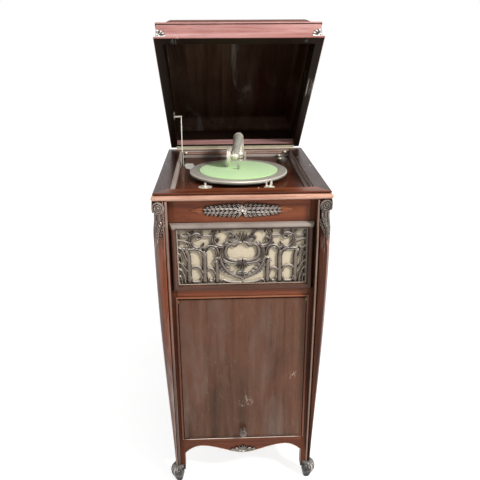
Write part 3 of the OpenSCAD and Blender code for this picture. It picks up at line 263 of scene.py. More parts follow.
def strand(form, points, width, swell, rise, section, place, base=0.0):
    """A carved strip with rounded ends along a curve, drawn on a surface."""
    line = smooth(points, 6)
    last = len(line) - 1
    reach = [0.0]
    for a, b in zip(line, line[1:]):
        reach.append(reach[-1] + (b - a).length)
    rings = []
    for i, p in enumerate(line):
        way = line[min(i + 1, last)] - line[max(i - 1, 0)]
        side = Vector((-way.y, way.x)).normalized()
        half = (width + swell * math.sin(math.pi * reach[i] / reach[-1])) / 2
        near = min(min(reach[i], reach[-1] - reach[i]) / half, 1)
        end = math.sqrt(max(1 - (1 - near) ** 2, 0.05))
        up = rise * (0.5 + 0.5 * end)
        rings.append([place(p.x + side.x * half * end * a, p.y + side.y * half * end * a, base + up * h)
            for a, h in section])
    form.loft(rings)


def leaf(form, root, turn, length, width, rise, place, hook=0.0, base=0.0, rows=8, tuck=0.0):
    """A crowned leaf with a hollow midrib.

    Its tip bends by hook degrees, and tuck lowers its root under the next leaf."""
    at, heading = Vector(root), math.radians(turn)
    rings = []
    for j in range(rows + 1):
        t = j / rows
        half = width / 2 * (math.sin(math.pi * min(t ** 0.75, 0.999)) ** 0.8 + 0.05)
        up = rise * (0.5 + 0.5 * math.sin(math.pi * (0.15 + 0.75 * t))) * (1 - tuck * max(1 - t / 0.6, 0))
        side = Vector((-math.sin(heading), math.cos(heading)))
        rings.append(
            [place(at.x + side.x * half * a, at.y + side.y * half * a, base + up * h) for a, h in VEINED]
        )
        heading += math.radians(hook) / rows
        at += Vector((math.cos(heading), math.sin(heading))) * length / rows
    form.loft(rings)


def turned(form, profile, at, axis, sides=48):
    """Turns a profile of (radius, height) in millimetres round an axis through a point."""
    up = Vector(axis).normalized()
    right = up.orthogonal().normalized()
    ahead = up.cross(right)
    turns = [2 * math.pi * k / sides for k in range(sides)]
    ways = [right * math.cos(a) + ahead * math.sin(a) for a in turns]
    form.loft([[at + (way * max(r, 0.001) + up * h) * MM for way in ways] for r, h in profile])


def tube(form, points, radii, sides):
    """A round bar along a row of points in metres, with a radius in millimetres at each."""
    last = len(points) - 1
    right = None
    rings = []
    for i, p in enumerate(points):
        way = (points[min(i + 1, last)] - points[max(i - 1, 0)]).normalized()
        right = way.orthogonal().normalized() if right is None else (right - way * right.dot(way)).normalized()
        ahead = way.cross(right)
        ways = (2 * math.pi * k / sides for k in range(sides))
        rings.append([p + (right * math.cos(a) + ahead * math.sin(a)) * radii[i] * MM for a in ways])
    form.loft(rings)


def screw(form, at, axis, radius, turn=0.0, rise=1.0):
    """A slotted screw head: a thin disc and two half domes with the slot between them.

    A small rise makes the head of a countersunk screw."""
    up = Vector(axis).normalized()
    right = Matrix.Rotation(math.radians(turn), 3, up) @ up.orthogonal().normalized()
    ahead = up.cross(right)
    disc = 0.25 * rise * radius
    turned(form, [(0, -0.2), (radius, -0.2), (radius, disc), (0, disc)], at, up, 20)
    for sign in (-1, 1):
        rings = []
        for r, h in ((1, 0.25 * rise), (0.86, 0.42 * rise), (0.55, 0.52 * rise)):
            arc = [
                (r * math.cos(math.pi * k / 8), max(r * math.sin(math.pi * k / 8), 0.14)) for k in range(9)
            ]
            rings.append([at + (right * x * radius + ahead * sign * y * radius + up * h * radius) * MM
                for x, y in arc])
        form.loft(rings)


def three_screws(form, centre, axes, reach, radius, first, turn):
    """Three screws round a centre, in the plane of the first two axes, with their heads along the third."""
    a_way, b_way, up = (Vector(axis) for axis in axes)
    for k in range(3):
        a = math.radians(first + 120 * k)
        at = centre + (a_way * math.cos(a) + b_way * math.sin(a)) * reach * MM
        screw(form, at, up, radius, turn * k)


def spiral(form, centre, right, ahead, radius, turns, thick):
    """A rib that winds in from a radius towards a centre."""
    n = int(turns * 26)
    points = []
    for k in range(n + 1):
        t = k / n
        a, r = 2 * math.pi * turns * t, radius * (1 - 0.78 * t ** 0.85)
        points.append(centre + (right * math.cos(a) + ahead * math.sin(a)) * r * MM)
    tube(form, points, [thick * (1 - 0.45 * k / n) for k in range(n + 1)], 8)


# ---------- finishes ----------


class Nodes:
    """Adds shader nodes to a tree. Each method returns the new node's output."""

    def __init__(self, tree):
        self.tree = tree

    def node(self, kind, inputs, output=0, **settings):
        made = self.tree.nodes.new("ShaderNode" + kind)
        for key, value in settings.items():
            setattr(made, key, value)
        for key, value in inputs.items():
            if isinstance(value, bpy.types.NodeSocket):
                self.tree.links.new(value, made.inputs[key])
            else:
                made.inputs[key].default_value = value
        return made.outputs[output]

    def sum(self, kind, a, b=0.0, c=0.0, clamp=False):
        return self.node("Math", {0: a, 1: b, 2: c}, operation=kind, use_clamp=clamp)

    def noise(self, where, scale, detail=3.0, rough=0.5, bend=0.0):
        return self.node("TexNoise", {"Vector": where, "Scale": scale, "Detail": detail, "Roughness": rough,
            "Distortion": bend}, "Fac")

    def spread(self, value, low, high, to_low=0.0, to_high=1.0):
        return self.node("MapRange", {"Value": value, "From Min": low, "From Max": high, "To Min": to_low,
            "To Max": to_high})

    def ramp(self, value, stops):
        socket = self.node("ValToRGB", {"Fac": value}, "Color")
        bar = socket.node.color_ramp
        for at, colour in stops[2:]:
            bar.elements.new(at)
        for element, (at, colour) in zip(bar.elements, sorted(stops)):
            element.position, element.color = at, (*colour, 1)
        return socket

    def mix(self, share, a, b):
        made = self.tree.nodes.new("ShaderNodeMix")
        made.data_type = "RGBA"
        for socket, value in ((made.inputs[0], share), (made.inputs[6], a), (made.inputs[7], b)):
            if isinstance(value, bpy.types.NodeSocket):
                self.tree.links.new(value, socket)
            else:
                socket.default_value = value if socket.type == "VALUE" else (*value, 1)
        return made.outputs[2]

    def stretch(self, where, scale):
        return self.node("VectorMath", {0: where, 1: scale}, operation="MULTIPLY")

    def relief(self, height, distance, strength, normal=None):
        inputs = {"Height": height, "Distance": distance, "Strength": strength}
        if normal is not None:
            inputs["Normal"] = normal
        return self.node("Bump", inputs, "Normal")

    def hollow(self, reach):
        """1 in a crevice and 0 in the open; the wood and the carving darken crevices with it as painted shade,
        the metal as tarnish.
        """
        return self.spread(self.node("AmbientOcclusion", {"Distance": reach}, "AO", samples=8), 0.8, 0.3)


class Look(Nodes):
    """The node tree of one finish."""

    def __init__(self, name, constants):
        self.material = bpy.data.materials.new(name)
        self.material.use_nodes = True
        super().__init__(self.material.node_tree)
        self.shader = self.tree.nodes["Principled BSDF"]
        for socket, value in constants.items():
            self.shader.inputs[socket].default_value = value
        self.place = self.node("TexCoord", {}, "Object")

    def finish(self, **sockets):
        for name, value in sockets.items():
            self.tree.links.new(value, self.shader.inputs[name.replace("_", " ").title()])
        return self.material


def darker(colour, share):
    return tuple(c * share for c in colour)


def tinted(tones, share):
    return tuple(darker(tone, share) for tone in tones)


def toward(colour, other, share):
    return tuple(a + (b - a) * share for a, b in zip(colour, other))


# How much the figure of the wood is stretched along the grain and across it.
ALONG, ACROSS = 1.7, 36.0


def grain_scale(look, where, grain, mitre):
    """How much the figure is stretched along each axis, and where a mitred frame's side members are."""
    if mitre is None:
        return tuple(ALONG if axis == grain else ACROSS for axis in range(3)), 0.0
    a, b, centre, half = mitre
    parts = look.node("SeparateXYZ", {0: where}, 0).node.outputs
    off = [look.sum("DIVIDE", look.sum("ABSOLUTE", look.sum("SUBTRACT", parts[axis], centre[axis])),
        half[axis]) for axis in (a, b)]
    sideways = look.sum("GREATER_THAN", off[0], off[1])
    along_a = look.sum("MULTIPLY_ADD", sideways, ACROSS - ALONG, ALONG)
    along_b = look.sum("MULTIPLY_ADD", sideways, ALONG - ACROSS, ACROSS)
    return look.node("CombineXYZ", {axis: along_a if axis == a else along_b if axis == b else ACROSS
        for axis in range(3)}), sideways


def wood(name, tones, grain=2, mitre=None, tilt=0.0, rough=0.3, coat=0.16, specular=0.28, wear=0.6,
    figure=1.0,
        grime=0.75, sides=0.0, shade=None, dust_and_highlight_above=None, rub=None, stains_and_sheens=(), scratched=()):
    """Lacquered mahogany: streaks and ribbons along the grain, open pores, faded and worn places.

    Sides darkens the side members of a mitred frame as painted shade. Shade says where shade is painted near
    black, dusty above which height it turns pale as dust and painted highlight, rub the colour of its worn
    edges, and grime how dark its crevices are painted as shade. The blooms are cloudy stains on some pieces
    and painted sheen on others, and scratched lists scuffed places."""
    dark, warm, light = tones
    look = Look(name, {"Coat Weight": coat, "Coat Roughness": 0.1, "Specular IOR Level": specular,
        "Specular Tint": (1, 0.72, 0.55, 1)})
    where = look.node("Mapping", {"Vector": look.place, "Rotation": (tilt, 0, 0)}) if tilt else look.place
    scale, sideways = grain_scale(look, where, grain, mitre)
    drawn = look.stretch(where, scale)
    streak = look.noise(drawn, 1.0, 6.0, 0.62, 0.5)
    ribbon = look.noise(drawn, 0.2, 2.0, 0.5, 0.3)
    pore = look.noise(drawn, 13.0, 2.0, 0.5)
    cloud = look.noise(where, 6.0, 4.0, 0.6)
    figure_value = look.sum("MULTIPLY_ADD", look.sum("SUBTRACT", ribbon, 0.5), 0.9 * figure, streak)
    colour = look.ramp(figure_value, [(0.3, dark), (0.72, light), (0.5, warm)])
    pores = look.spread(pore, 0.58, 0.7)
    colour = look.mix(look.sum("MULTIPLY", pores, 0.5), colour, darker(dark, 0.6))
    colour = look.mix(look.spread(cloud, 0.42, 0.72, 0.0, 0.45), colour, darker(warm, 0.45))
    # Side members darkened: a painted shade.
    if sides:
        colour = look.mix(look.sum("MULTIPLY", sideways, sides), colour, darker(dark, 0.8))
    # Cloudy patches: stains of the finish on some pieces, a painted sheen on others.
    for stretched, low, high, share, tint in stains_and_sheens:
        bloom = look.noise(look.stretch(where, stretched), 1.0, 4.0, 0.6, 0.6)
        colour = look.mix(look.spread(bloom, low, high, 0.0, share), colour, tint)
    soft_edge = look.node("Bevel", {"Radius": 0.0013}, samples=4)
    flat = look.node("NewGeometry", {}, "Normal")
    turn = look.node("VectorMath", {0: soft_edge, 1: flat}, 1, operation="DOT_PRODUCT")
    edge = look.spread(turn, 0.985, 0.84)
    worn = look.sum("MULTIPLY", edge, look.spread(look.noise(where, 45.0, 3.0, 0.6), 0.42, 0.66, 0.0, wear))
    colour = look.mix(worn, colour, rub or toward(light, (0.34, 0.19, 0.11), 0.6))
    # Shade painted near black where the shade function says.
    if shade is not None:
        colour = look.mix(shade(look, where), colour, (0.011, 0.006, 0.004))
    # Crevices darkened: a painted shade.
    if grime:
        colour = look.mix(look.sum("MULTIPLY", look.hollow(0.009), grime), colour, darker(dark, 0.3))
    if scratched:
        fleck = look.spread(look.noise(where, 330.0, 2.0, 0.5), 0.765, 0.785)
        few = look.spread(look.noise(where, 9.0, 2.0, 0.5), 0.5, 0.6)
        scuffs = look.sum("MULTIPLY", fleck, few)
        for centre, reach, turn in scratched:
            away = look.node("VectorMath", {0: where, 1: centre}, operation="SUBTRACT")
            near = look.spread(look.node("VectorMath", {0: away}, 1, operation="LENGTH"), reach, reach * 0.5)
            leant = look.node("Mapping", {"Vector": away, "Rotation": (0, turn, 0)})
            line = look.noise(look.stretch(leant, (420.0, 1.0, 70.0)), 1.0, 2.0, 0.5, 1.2)
            line = look.spread(line, 0.62, 0.68)
            scuffs = look.sum("MAXIMUM", scuffs, look.sum("MULTIPLY", line, near))
        colour = look.mix(look.sum("MULTIPLY", scuffs, 0.85), colour, (0.62, 0.55, 0.5))
    # Pale above a height: dust and a painted highlight.
    if dust_and_highlight_above is not None:
        z = look.node("SeparateXYZ", {0: where}, 2)
        dust = look.sum(
            "MULTIPLY", look.spread(z, dust_and_highlight_above, dust_and_highlight_above + 0.006), look.spread(cloud, 0.3, 0.6, 0.45, 0.8)
        )
        colour = look.mix(dust, colour, (0.36, 0.31, 0.27))
    roughness = look.sum("MULTIPLY_ADD", cloud, 0.16, rough - 0.06)
    roughness = look.sum("MULTIPLY_ADD", pores, 0.14, roughness)
    height = look.sum("MULTIPLY_ADD", pores, -0.8, look.sum("MULTIPLY", streak, 0.25))
    normal = look.relief(height, 0.00016, 0.5, soft_edge)
    return look.finish(base_color=colour, roughness=roughness, normal=normal)


def carved(name, colour, deep, light, rough=0.42, ground=None, height=0.008, lift=0.45, coat=0.5, shine=0.18,
        specular=0.4, grime=0.85, reach=0.005, sole=None, dust_and_painted_light=0.0):
    """Carved wood under old bronze paint: dark in the hollows as painted shade, pale on the crests as rubbed
    paint and painted highlight.

    Ground and height give the relief's base and depth along Y, and lift how much paler it is
    towards the front. Sole is the height under which a foot turns darker towards the bottom, and dusted how
    much the faces that look up turn pale, as dust and painted highlight, and the faces that look down dark, as
    painted shade."""
    look = Look(name, {"Coat Weight": coat, "Coat Roughness": shine, "Specular IOR Level": specular,
        "Specular Tint": (1, 0.85, 0.72, 1)})
    crest = look.node("NewGeometry", {}, "Pointiness")
    rubbed = look.noise(look.place, 70.0, 4.0, 0.65)
    value = look.sum("MULTIPLY_ADD", look.sum("SUBTRACT", rubbed, 0.5), 0.12, crest)
    if ground is not None:
        y = look.node("SeparateXYZ", {0: look.place}, 1)
        up = look.spread(y, ground, ground - height)
        value = look.sum("MULTIPLY_ADD", look.sum("SUBTRACT", up, 0.84), lift, value)
    # Dark in the hollows, a painted shade, and pale on the crests, rubbed paint and a painted highlight.
    base = look.ramp(value, [(0.482, deep), (0.572, light), (0.53, colour)])
    dirt = look.noise(look.place, 18.0, 3.0, 0.6)
    base = look.mix(look.spread(dirt, 0.5, 0.75, 0.0, 0.4), base, deep)
    # Faces that look down darkened as painted shade, faces that look up paled as dust and painted highlight.
    if dust_and_painted_light:
        rise = look.node("SeparateXYZ", {0: look.node("NewGeometry", {}, "Normal")}, 2)
        base = look.mix(look.spread(rise, 0.2, -0.3, 0.0, dust_and_painted_light), base, deep)
        base = look.mix(look.spread(rise, 0.4, 0.9, 0.0, dust_and_painted_light), base, toward(light, (0.86, 0.8, 0.72), 0.6))
    # Crevices darkened: a painted shade.
    base = look.mix(look.sum("MULTIPLY", look.hollow(reach), grime), base, deep)
    if sole is not None:
        z = look.node("SeparateXYZ", {0: look.place}, 2)
        base = look.mix(look.spread(z, sole, sole * 0.4, 0.0, 0.9), base, deep)
    tool = look.noise(look.stretch(look.place, (60.0, 60.0, 140.0)), 6.0, 3.0, 0.6)
    roughness = look.sum("MULTIPLY_ADD", rubbed, 0.2, rough - 0.1)
    return look.finish(base_color=base, roughness=roughness, normal=look.relief(tool, 0.0004, 0.5))


def metal(name, colour, tarnish, rough, pure=1.0, turned_about=None, painted_dark_below=None):
    """Plated metal with tarnish, fine scratches and, on turned pieces, rings from the lathe.

    Sooty gives the heights between which it turns black, downwards, as painted shade and a painted dark
    reflection."""
    look = Look(name, {"Metallic": pure})
    patch = look.noise(look.place, 38.0, 5.0, 0.65)
    base = look.mix(look.spread(patch, 0.46, 0.75, 0.0, 0.35), colour, tarnish)
    scratch = look.noise(look.stretch(look.place, (90.0, 700.0, 500.0)), 3.0, 2.0)
    height = scratch
    if turned_about is not None:
        flat = look.node("VectorMath", {0: look.place, 1: turned_about}, operation="SUBTRACT")
        flat = look.stretch(flat, (1.0, 1.0, 0.0))
        far = look.node("VectorMath", {0: flat}, 1, operation="LENGTH")
        ring = look.noise(look.node("CombineXYZ", {0: look.sum("MULTIPLY", far, 900.0)}), 1.0, 2.0)
        height = look.sum("ADD", ring, look.sum("MULTIPLY", scratch, 0.2))
        base = look.mix(look.spread(ring, 0.35, 0.7, 0.0, 0.3), base, tarnish)
    # Black towards the bottom: a painted shade and dark reflection.
    if painted_dark_below is not None:
        z = look.node("SeparateXYZ", {0: look.place}, 2)
        base = look.mix(look.spread(z, painted_dark_below[1], painted_dark_below[0], 0.0, 0.93), base, (0.02, 0.017, 0.015))
    base = look.mix(look.sum("MULTIPLY", look.hollow(0.005), 0.75), base, darker(tarnish, 0.15))
    roughness = look.sum("MULTIPLY_ADD", patch, 0.3, rough - 0.1)
    return look.finish(base_color=base, roughness=roughness, normal=look.relief(height, 0.00006, 0.35))


def woven(name, colour):
    """Plain weave of fine threads, with slubs, dust and a stain or two."""
    look = Look(name, {"Specular IOR Level": 0.15, "Sheen Weight": 0.15})
    x, _, z = look.node("SeparateXYZ", {0: look.place}, 0).node.outputs
    pitch = 2 * math.pi / 0.0011
    warp = look.sum("SINE", look.sum("MULTIPLY", x, pitch))
    weft = look.sum("SINE", look.sum("MULTIPLY", z, pitch))
    over = look.sum("MULTIPLY", warp, weft)
    slub = look.noise(look.stretch(look.place, (900.0, 1.0, 40.0)), 1.0, 3.0)
    stain = look.noise(look.place, 9.0, 4.0, 0.6)
    base = look.mix(look.spread(over, -1.0, 1.0, 0.0, 0.12), colour, darker(colour, 0.6))
    base = look.mix(look.spread(slub, 0.5, 0.8, 0.0, 0.25), base, toward(colour, (0.9, 0.85, 0.7), 0.4))
    base = look.mix(look.spread(stain, 0.5, 0.78, 0.0, 0.2), base, (0.45, 0.33, 0.2))
    return look.finish(base_color=base, roughness=look.spread(slub, 0.3, 0.7, 0.75, 0.95),
        normal=look.relief(over, 0.0003, 0.4))


def felted(name, colour):
    """Worn felt: matted fibres, pressed rings and faded patches."""
    look = Look(name, {"Specular IOR Level": 0.1, "Sheen Weight": 0.35, "Sheen Roughness": 0.6})
    fibre = look.noise(look.place, 900.0, 4.0, 0.7, 1.5)
    fade = look.noise(look.place, 13.0, 4.0, 0.6)
    centre = look.node("VectorMath", {0: look.place, 1: spot(0, -PLATTER_AHEAD, 0)}, operation="SUBTRACT")
    far = look.node("VectorMath", {0: look.stretch(centre, (1.0, 1.0, 0.0))}, 1, operation="LENGTH")
    press = look.noise(look.node("CombineXYZ", {0: look.sum("MULTIPLY", far, 120.0)}), 1.0, 2.0)
    base = look.mix(look.spread(fade, 0.4, 0.72, 0.0, 0.35), colour, toward(colour, (0.62, 0.68, 0.45), 0.7))
    base = look.mix(look.spread(press, 0.45, 0.75, 0.0, 0.22), base, darker(colour, 0.62))
    base = look.mix(look.spread(fibre, 0.35, 0.65, 0.0, 0.2), base, darker(colour, 0.7))
    height = look.sum("ADD", fibre, look.sum("MULTIPLY", press, 0.4))
    return look.finish(base_color=base, roughness=look.spread(fibre, 0.3, 0.7, 0.8, 1.0),
        normal=look.relief(height, 0.0005, 0.7))


def painted(name, colour, rough):
    """Cast or moulded surface with a fine orange peel and grime."""
    look = Look(name, {"Specular IOR Level": 0.4})
    grime = look.noise(look.place, 22.0, 5.0, 0.65)
    grit = look.noise(look.place, 420.0, 2.0)
    base = look.mix(look.spread(grime, 0.42, 0.74, 0.0, 0.5), colour, darker(colour, 0.4))
    return look.finish(base_color=base, roughness=look.spread(grime, 0.3, 0.7, rough, rough + 0.2),
        normal=look.relief(grit, 0.0003, 0.4))


LOOKS = {}


def members(node, up):
    """The axes, middle and half size of a mitred frame, for grain that turns at its corners."""
    low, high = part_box(node)
    return 0, up, (low + high) / 2, (high - low) / 2


def lid_painted_shade(middle):
    """Where shade is painted near black on the lid: inside its rails and under them, all but a strip by the
    hinge.
    """

    def lid_shade_share(look, where):
        x, y, z = look.node("SeparateXYZ", {0: where}, 0).node.outputs
        normal = look.node("TexCoord", {}, "Normal")
        shut = look.node("VectorRotate", {"Vector": normal, "Angle": LID_OPEN}, rotation_type="X_AXIS")
        under = look.spread(look.node("SeparateXYZ", {0: shut}, 2), -0.6, -0.85)
        room_x, room_y = ((half - LID_RAIL_IN + 1.5) * MM for half in LID_HALF)
        off_x = look.sum("LESS_THAN", look.sum("ABSOLUTE", x), room_x)
        off_y = look.sum("LESS_THAN", look.sum("ABSOLUTE", look.sum("SUBTRACT", y, middle.y)), room_y)
        behind = look.sum("GREATER_THAN", y, middle.y + 0.262)
        strip = look.sum("MULTIPLY", behind, look.sum("LESS_THAN", look.sum("SUBTRACT", z, middle.z), 0.020))
        inside = look.sum(
            "SUBTRACT", look.sum("MULTIPLY", off_x, off_y), look.sum("MULTIPLY", strip, 0.9), clamp=True
        )
        return look.sum("MAXIMUM", inside, under)

    return lid_shade_share


def looks():
    """All finishes, made once."""
    if LOOKS:
        return LOOKS
    colours = bpy.context.scene.gramophone_colours
    dark, warm, light = tuple(colours.wood_dark), tuple(colours.wood_warm), tuple(colours.wood_light)
    case = (darker(dark, 1.2), darker(warm, 1.25), light)
    brown = ((0.042, 0.019, 0.012), (0.088, 0.041, 0.025), (0.122, 0.062, 0.040))
    red = (darker(dark, 1.3), darker(warm, 1.5), darker(light, 1.3))
    red_leg = tinted(red, 1.1)
    # A darker copy of the wood tones, painted as shade.
    shaded = (darker(dark, 0.8), darker(warm, 0.62), darker(light, 0.62))
    # Pale pink tones of the moulding, a painted highlight.
    painted_highlight_tones = (darker(warm, 1.7), (0.5, 0.27, 0.19), (0.74, 0.5, 0.41))
    # Pink tones of the lid, a painted reflection.
    painted_reflection_pink = ((0.26, 0.098, 0.084), (0.40, 0.21, 0.193), (0.58, 0.365, 0.34))
    plain = ((0.075, 0.036, 0.018), (0.16, 0.082, 0.04), (0.25, 0.14, 0.075))
    dusty_brown = (dark, toward(darker(warm, 0.7), (0.07, 0.045, 0.033), 0.5),
        toward(darker(light, 0.8), (0.15, 0.1, 0.075), 0.5))
    rim, grille, doorway = members("case_rim", 1), members("grille_frame", 2), members("door_opening_bead", 2)
    upright = Matrix.Rotation(LID_OPEN, 3, "X")
    lid_middle = upright @ in_lid(0, -292.7, 0)
    lid = (0, 1, lid_middle, Vector((0.232, 0.29, 1.0)))
    rails_y = spot(0, FRONT_Y, 0).y
    nickel, tarnish = tuple(colours.nickel), (0.32, 0.26, 0.19)
    table_z = box_mm("turntable")[1].z * MM
    LOOKS.update(
        # The pale patches on the legs are a painted sheen. The right legs' fronts are a darker copy painted as
        # shade, their outer and back faces a lighter one as lit, and all the flats are painted dark as shade.
        legs=wood("leg_mahogany", red_leg, wear=0.9, specular=0.22,
            stains_and_sheens=(((22.0, 22.0, 1.6), 0.5, 0.72, 0.5, (0.33, 0.245, 0.205)),)),
        legs_left=wood("leg_mahogany_left", red_leg, wear=0.9, specular=0.22,
            stains_and_sheens=(((22.0, 22.0, 1.6), 0.4, 0.62, 0.72, (0.33, 0.262, 0.232)),)),
        legs_right=wood("leg_mahogany_shaded", tinted(shaded, 0.55), wear=0.9, coat=0.06, specular=0.12),
        leg_flat=wood("leg_flat_mahogany", tinted(shaded, 0.95), wear=0.9, coat=0.06, specular=0.14),
        # The sight bead and the leg beads are painted pale as highlights.
        sight_bead=wood("sight_bead", ((0.1, 0.07, 0.055), (0.34, 0.26, 0.2), (0.55, 0.45, 0.37)), 0, grille,
            wear=1.0, grime=0.7),
        leg_bead=wood("leg_bead", ((0.05, 0.03, 0.022), (0.15, 0.1, 0.076), (0.28, 0.21, 0.17)), wear=1.0,
            coat=0.12, specular=0.2, grime=0.85),
        panels=wood("panel_mahogany", case),
        rails=wood("rail_mahogany", case, 0),
        apron=wood("apron_mahogany", tinted(case, 0.68), 0, specular=0.2),
        # The rim's side members are painted darker as shade.
        rim=wood("rim_mahogany", (dark, warm, light), 0, rim, sides=0.95, coat=0.08, specular=0.16),
        moulding=wood("moulding_mahogany", painted_highlight_tones, 0, rim, wear=0.9),
        # The pale streaks of the well and the pale well beads are painted highlights.
        well=wood("well_mahogany", ((0.16, 0.125, 0.11), (0.42, 0.355, 0.32), (0.62, 0.55, 0.5)), 0, rim,
            wear=1.0, grime=0.5, coat=0.4, stains_and_sheens=(((9.0, 9.0, 60.0), 0.45, 0.62, 0.5, (0.42, 0.36, 0.33)),)),
        well_bead=wood("well_bead", ((0.2, 0.15, 0.125), (0.56, 0.48, 0.42), (0.78, 0.7, 0.64)), 0, rim,
            wear=1.0, grime=0.4, coat=0.5, rough=0.2),
        board=wood("board_mahogany", (darker(dark, 0.7), darker(warm, 0.55), warm), 0),
        door=wood("door_mahogany", brown, figure=0.4, specular=0.2, coat=0.1,
            scratched=((spot(9, FRONT_Y, 300), 0.026, 0.5), (spot(150, FRONT_Y, 395), 0.02, -0.4)),
            stains_and_sheens=(((5.5, 1.0, 3.6), 0.42, 0.62, 0.55, (0.118, 0.043, 0.025)),
                ((13.0, 1.0, 2.4), 0.5, 0.72, 0.5, (0.155, 0.118, 0.098)),
                ((60.0, 1.0, 26.0), 0.56, 0.74, 0.14, (0.2, 0.165, 0.14)))),
        knob=wood("knob_mahogany", ((0.025, 0.016, 0.012), (0.11, 0.08, 0.06), (0.3, 0.25, 0.2)), 1, wear=1.0,
            coat=1.0, rough=0.12, specular=0.5),
        # The upright members of the door's bead are painted darker as shade.
        bead=wood("bead_mahogany", (warm, light, (0.3, 0.16, 0.11)), 2, doorway, wear=0.7, grime=0.6,
            sides=0.7),
        # The apron's pale fillets are painted highlight lines.
        fillet=wood("fillet_mahogany", ((0.3, 0.2, 0.15), (0.6, 0.46, 0.38), (0.78, 0.66, 0.56)), 0, wear=1.0,
            grime=0.2, coat=0.5),
        # The grille frame's top bar is pale as dust and a painted highlight, its side bars darker as painted
        # shade.
        grille=wood("grille_mahogany", dusty_brown, 0, grille, coat=0.3, wear=1.0, rub=(0.5, 0.42, 0.35),
            specular=0.15, sides=0.4, dust_and_highlight_above=(GRILLE_MID + 86) * MM),
        # The lid is pink as a painted reflection, and near black inside and under its rails as painted shade.
        lid=wood("lid_mahogany", painted_reflection_pink, 0, lid, LID_OPEN, wear=0.8, shade=lid_painted_shade(lid_middle), grime=0.5,
            figure=0.6, specular=0.06, coat=0.02,
            scratched=((upright @ in_lid(209, -360, 1), 0.05, 0.3),
                (upright @ in_lid(-170, -572, 1), 0.02, 0.8))),
        lid_slopes=wood("lid_slope_mahogany", tinted(red, 0.55), 0, lid, LID_OPEN, wear=0.8, specular=0.08,
            coat=0.04),
        lid_top=wood("lid_top_mahogany", tinted(case, 0.7), 1, None, LID_OPEN, specular=0.1, coat=0.05),
        # The lining is dark veneer painted darker still as shade, with grey streaks painted as reflections.
        lining=wood("lid_lining", (darker(dark, 0.5), (0.022, 0.010, 0.006), (0.05, 0.027, 0.018)), 1, None,
            LID_OPEN, coat=0.0, specular=0.08, wear=0.05,
            stains_and_sheens=(((7.0, 2.0, 1.0), 0.56, 0.78, 0.5, (0.075, 0.05, 0.038)),
                ((13.0, 4.0, 1.0), 0.6, 0.78, 0.55, (0.16, 0.15, 0.145)))),
        plain=wood("plain_wood", plain, rough=0.55, coat=0.0, specular=0.3, wear=0.3),
        plain_cross=wood("plain_wood_cross", plain, 0, rough=0.55, coat=0.0, specular=0.3, wear=0.3),
        # All the carving is painted dark in its hollows as shade and pale on its crests as rubbed paint and
        # highlight; dusted paints faces that look down dark as shade and faces that look up pale as dust and
        # highlight.
        carved=carved("carved_wood", darker(tuple(colours.carved), 0.42), (0.007, 0.004, 0.003),
            (0.2, 0.155, 0.125), ground=rails_y + 7 * MM, height=0.0085, lift=0.36, rough=0.3, coat=0.4,
            shine=0.12, dust_and_painted_light=0.75, specular=0.2),
        spray=carved("carved_spray", (0.085, 0.063, 0.05), (0.008, 0.005, 0.003), (0.82, 0.74, 0.67),
            ground=rails_y, height=0.0064, lift=0.3, grime=0.6, reach=0.003, coat=0.8),
        shell=carved("carved_shell", (0.07, 0.05, 0.04), (0.008, 0.005, 0.003), (0.42, 0.35, 0.29), rough=0.3,
            coat=0.4, grime=0.5, reach=0.003, shine=0.12, dust_and_painted_light=0.6, specular=0.2),
        hem=carved("carved_hem", (0.035, 0.026, 0.021), (0.006, 0.004, 0.003), (0.42, 0.37, 0.33),
            ground=rails_y, height=0.0064, lift=0.2, reach=0.003, coat=0.8),
        petals=carved("carved_petals", (0.02, 0.015, 0.012), (0.008, 0.005, 0.004), (0.12, 0.1, 0.085)),
        knee=carved("carved_knee", (0.055, 0.032, 0.024), (0.007, 0.003, 0.002), (0.3, 0.225, 0.185),
            rough=0.3, coat=0.6),
        # The right knee's carving is a darker copy, painted as shade.
        knee_right=carved("carved_knee_shaded", (0.02, 0.013, 0.010), (0.005, 0.003, 0.002),
            (0.15, 0.12, 0.10), rough=0.26, coat=0.4),
        foot=carved("carved_foot", (0.011, 0.008, 0.006), (0.003, 0.002, 0.002), (0.38, 0.355, 0.33),
            rough=0.25, coat=0.3, grime=0.95, reach=0.006, sole=0.04, shine=0.1, dust_and_painted_light=0.14, specular=0.12),
        fan=metal("pale_plaque", (0.66, 0.63, 0.6), (0.3, 0.26, 0.23), 0.45, pure=0.1),
        # The needle cups are painted dark for the shade inside them.
        cup=metal("needle_cup", (0.2, 0.18, 0.15), (0.07, 0.055, 0.04), 0.35, pure=0.6),
        plate=metal("pale_plate", (0.86, 0.85, 0.8), (0.6, 0.56, 0.48), 0.4, pure=0.15),
        cloth=woven("speaker_cloth", tuple(colours.cloth)),
        felt=felted("felt", tuple(colours.felt)),
        rubber=painted("rubber", (0.02, 0.018, 0.018), 0.6),
        nickel=metal("nickel", darker(nickel, 1.08), tarnish, 0.22, pure=0.5),
        # The turntable's side is painted black below its top edge, as shade and a dark reflection.
        platter=metal("turned_nickel", darker(nickel, 0.76), darker(tarnish, 0.9), 0.4, pure=0.5,
            turned_about=spot(0, -PLATTER_AHEAD, 0), painted_dark_below=(table_z - 0.0075, table_z - 0.0055)),
        brass=metal("brass", (0.66, 0.49, 0.24), (0.25, 0.16, 0.07), 0.3),
        hinge=metal("hinge_nickel", (0.84, 0.78, 0.64), (0.5, 0.42, 0.28), 0.3, pure=0.4),
        steel=metal("steel", (0.48, 0.47, 0.45), (0.2, 0.15, 0.11), 0.3),
        iron=painted("painted_iron", (0.05, 0.055, 0.055), 0.5),
    )
    return LOOKS


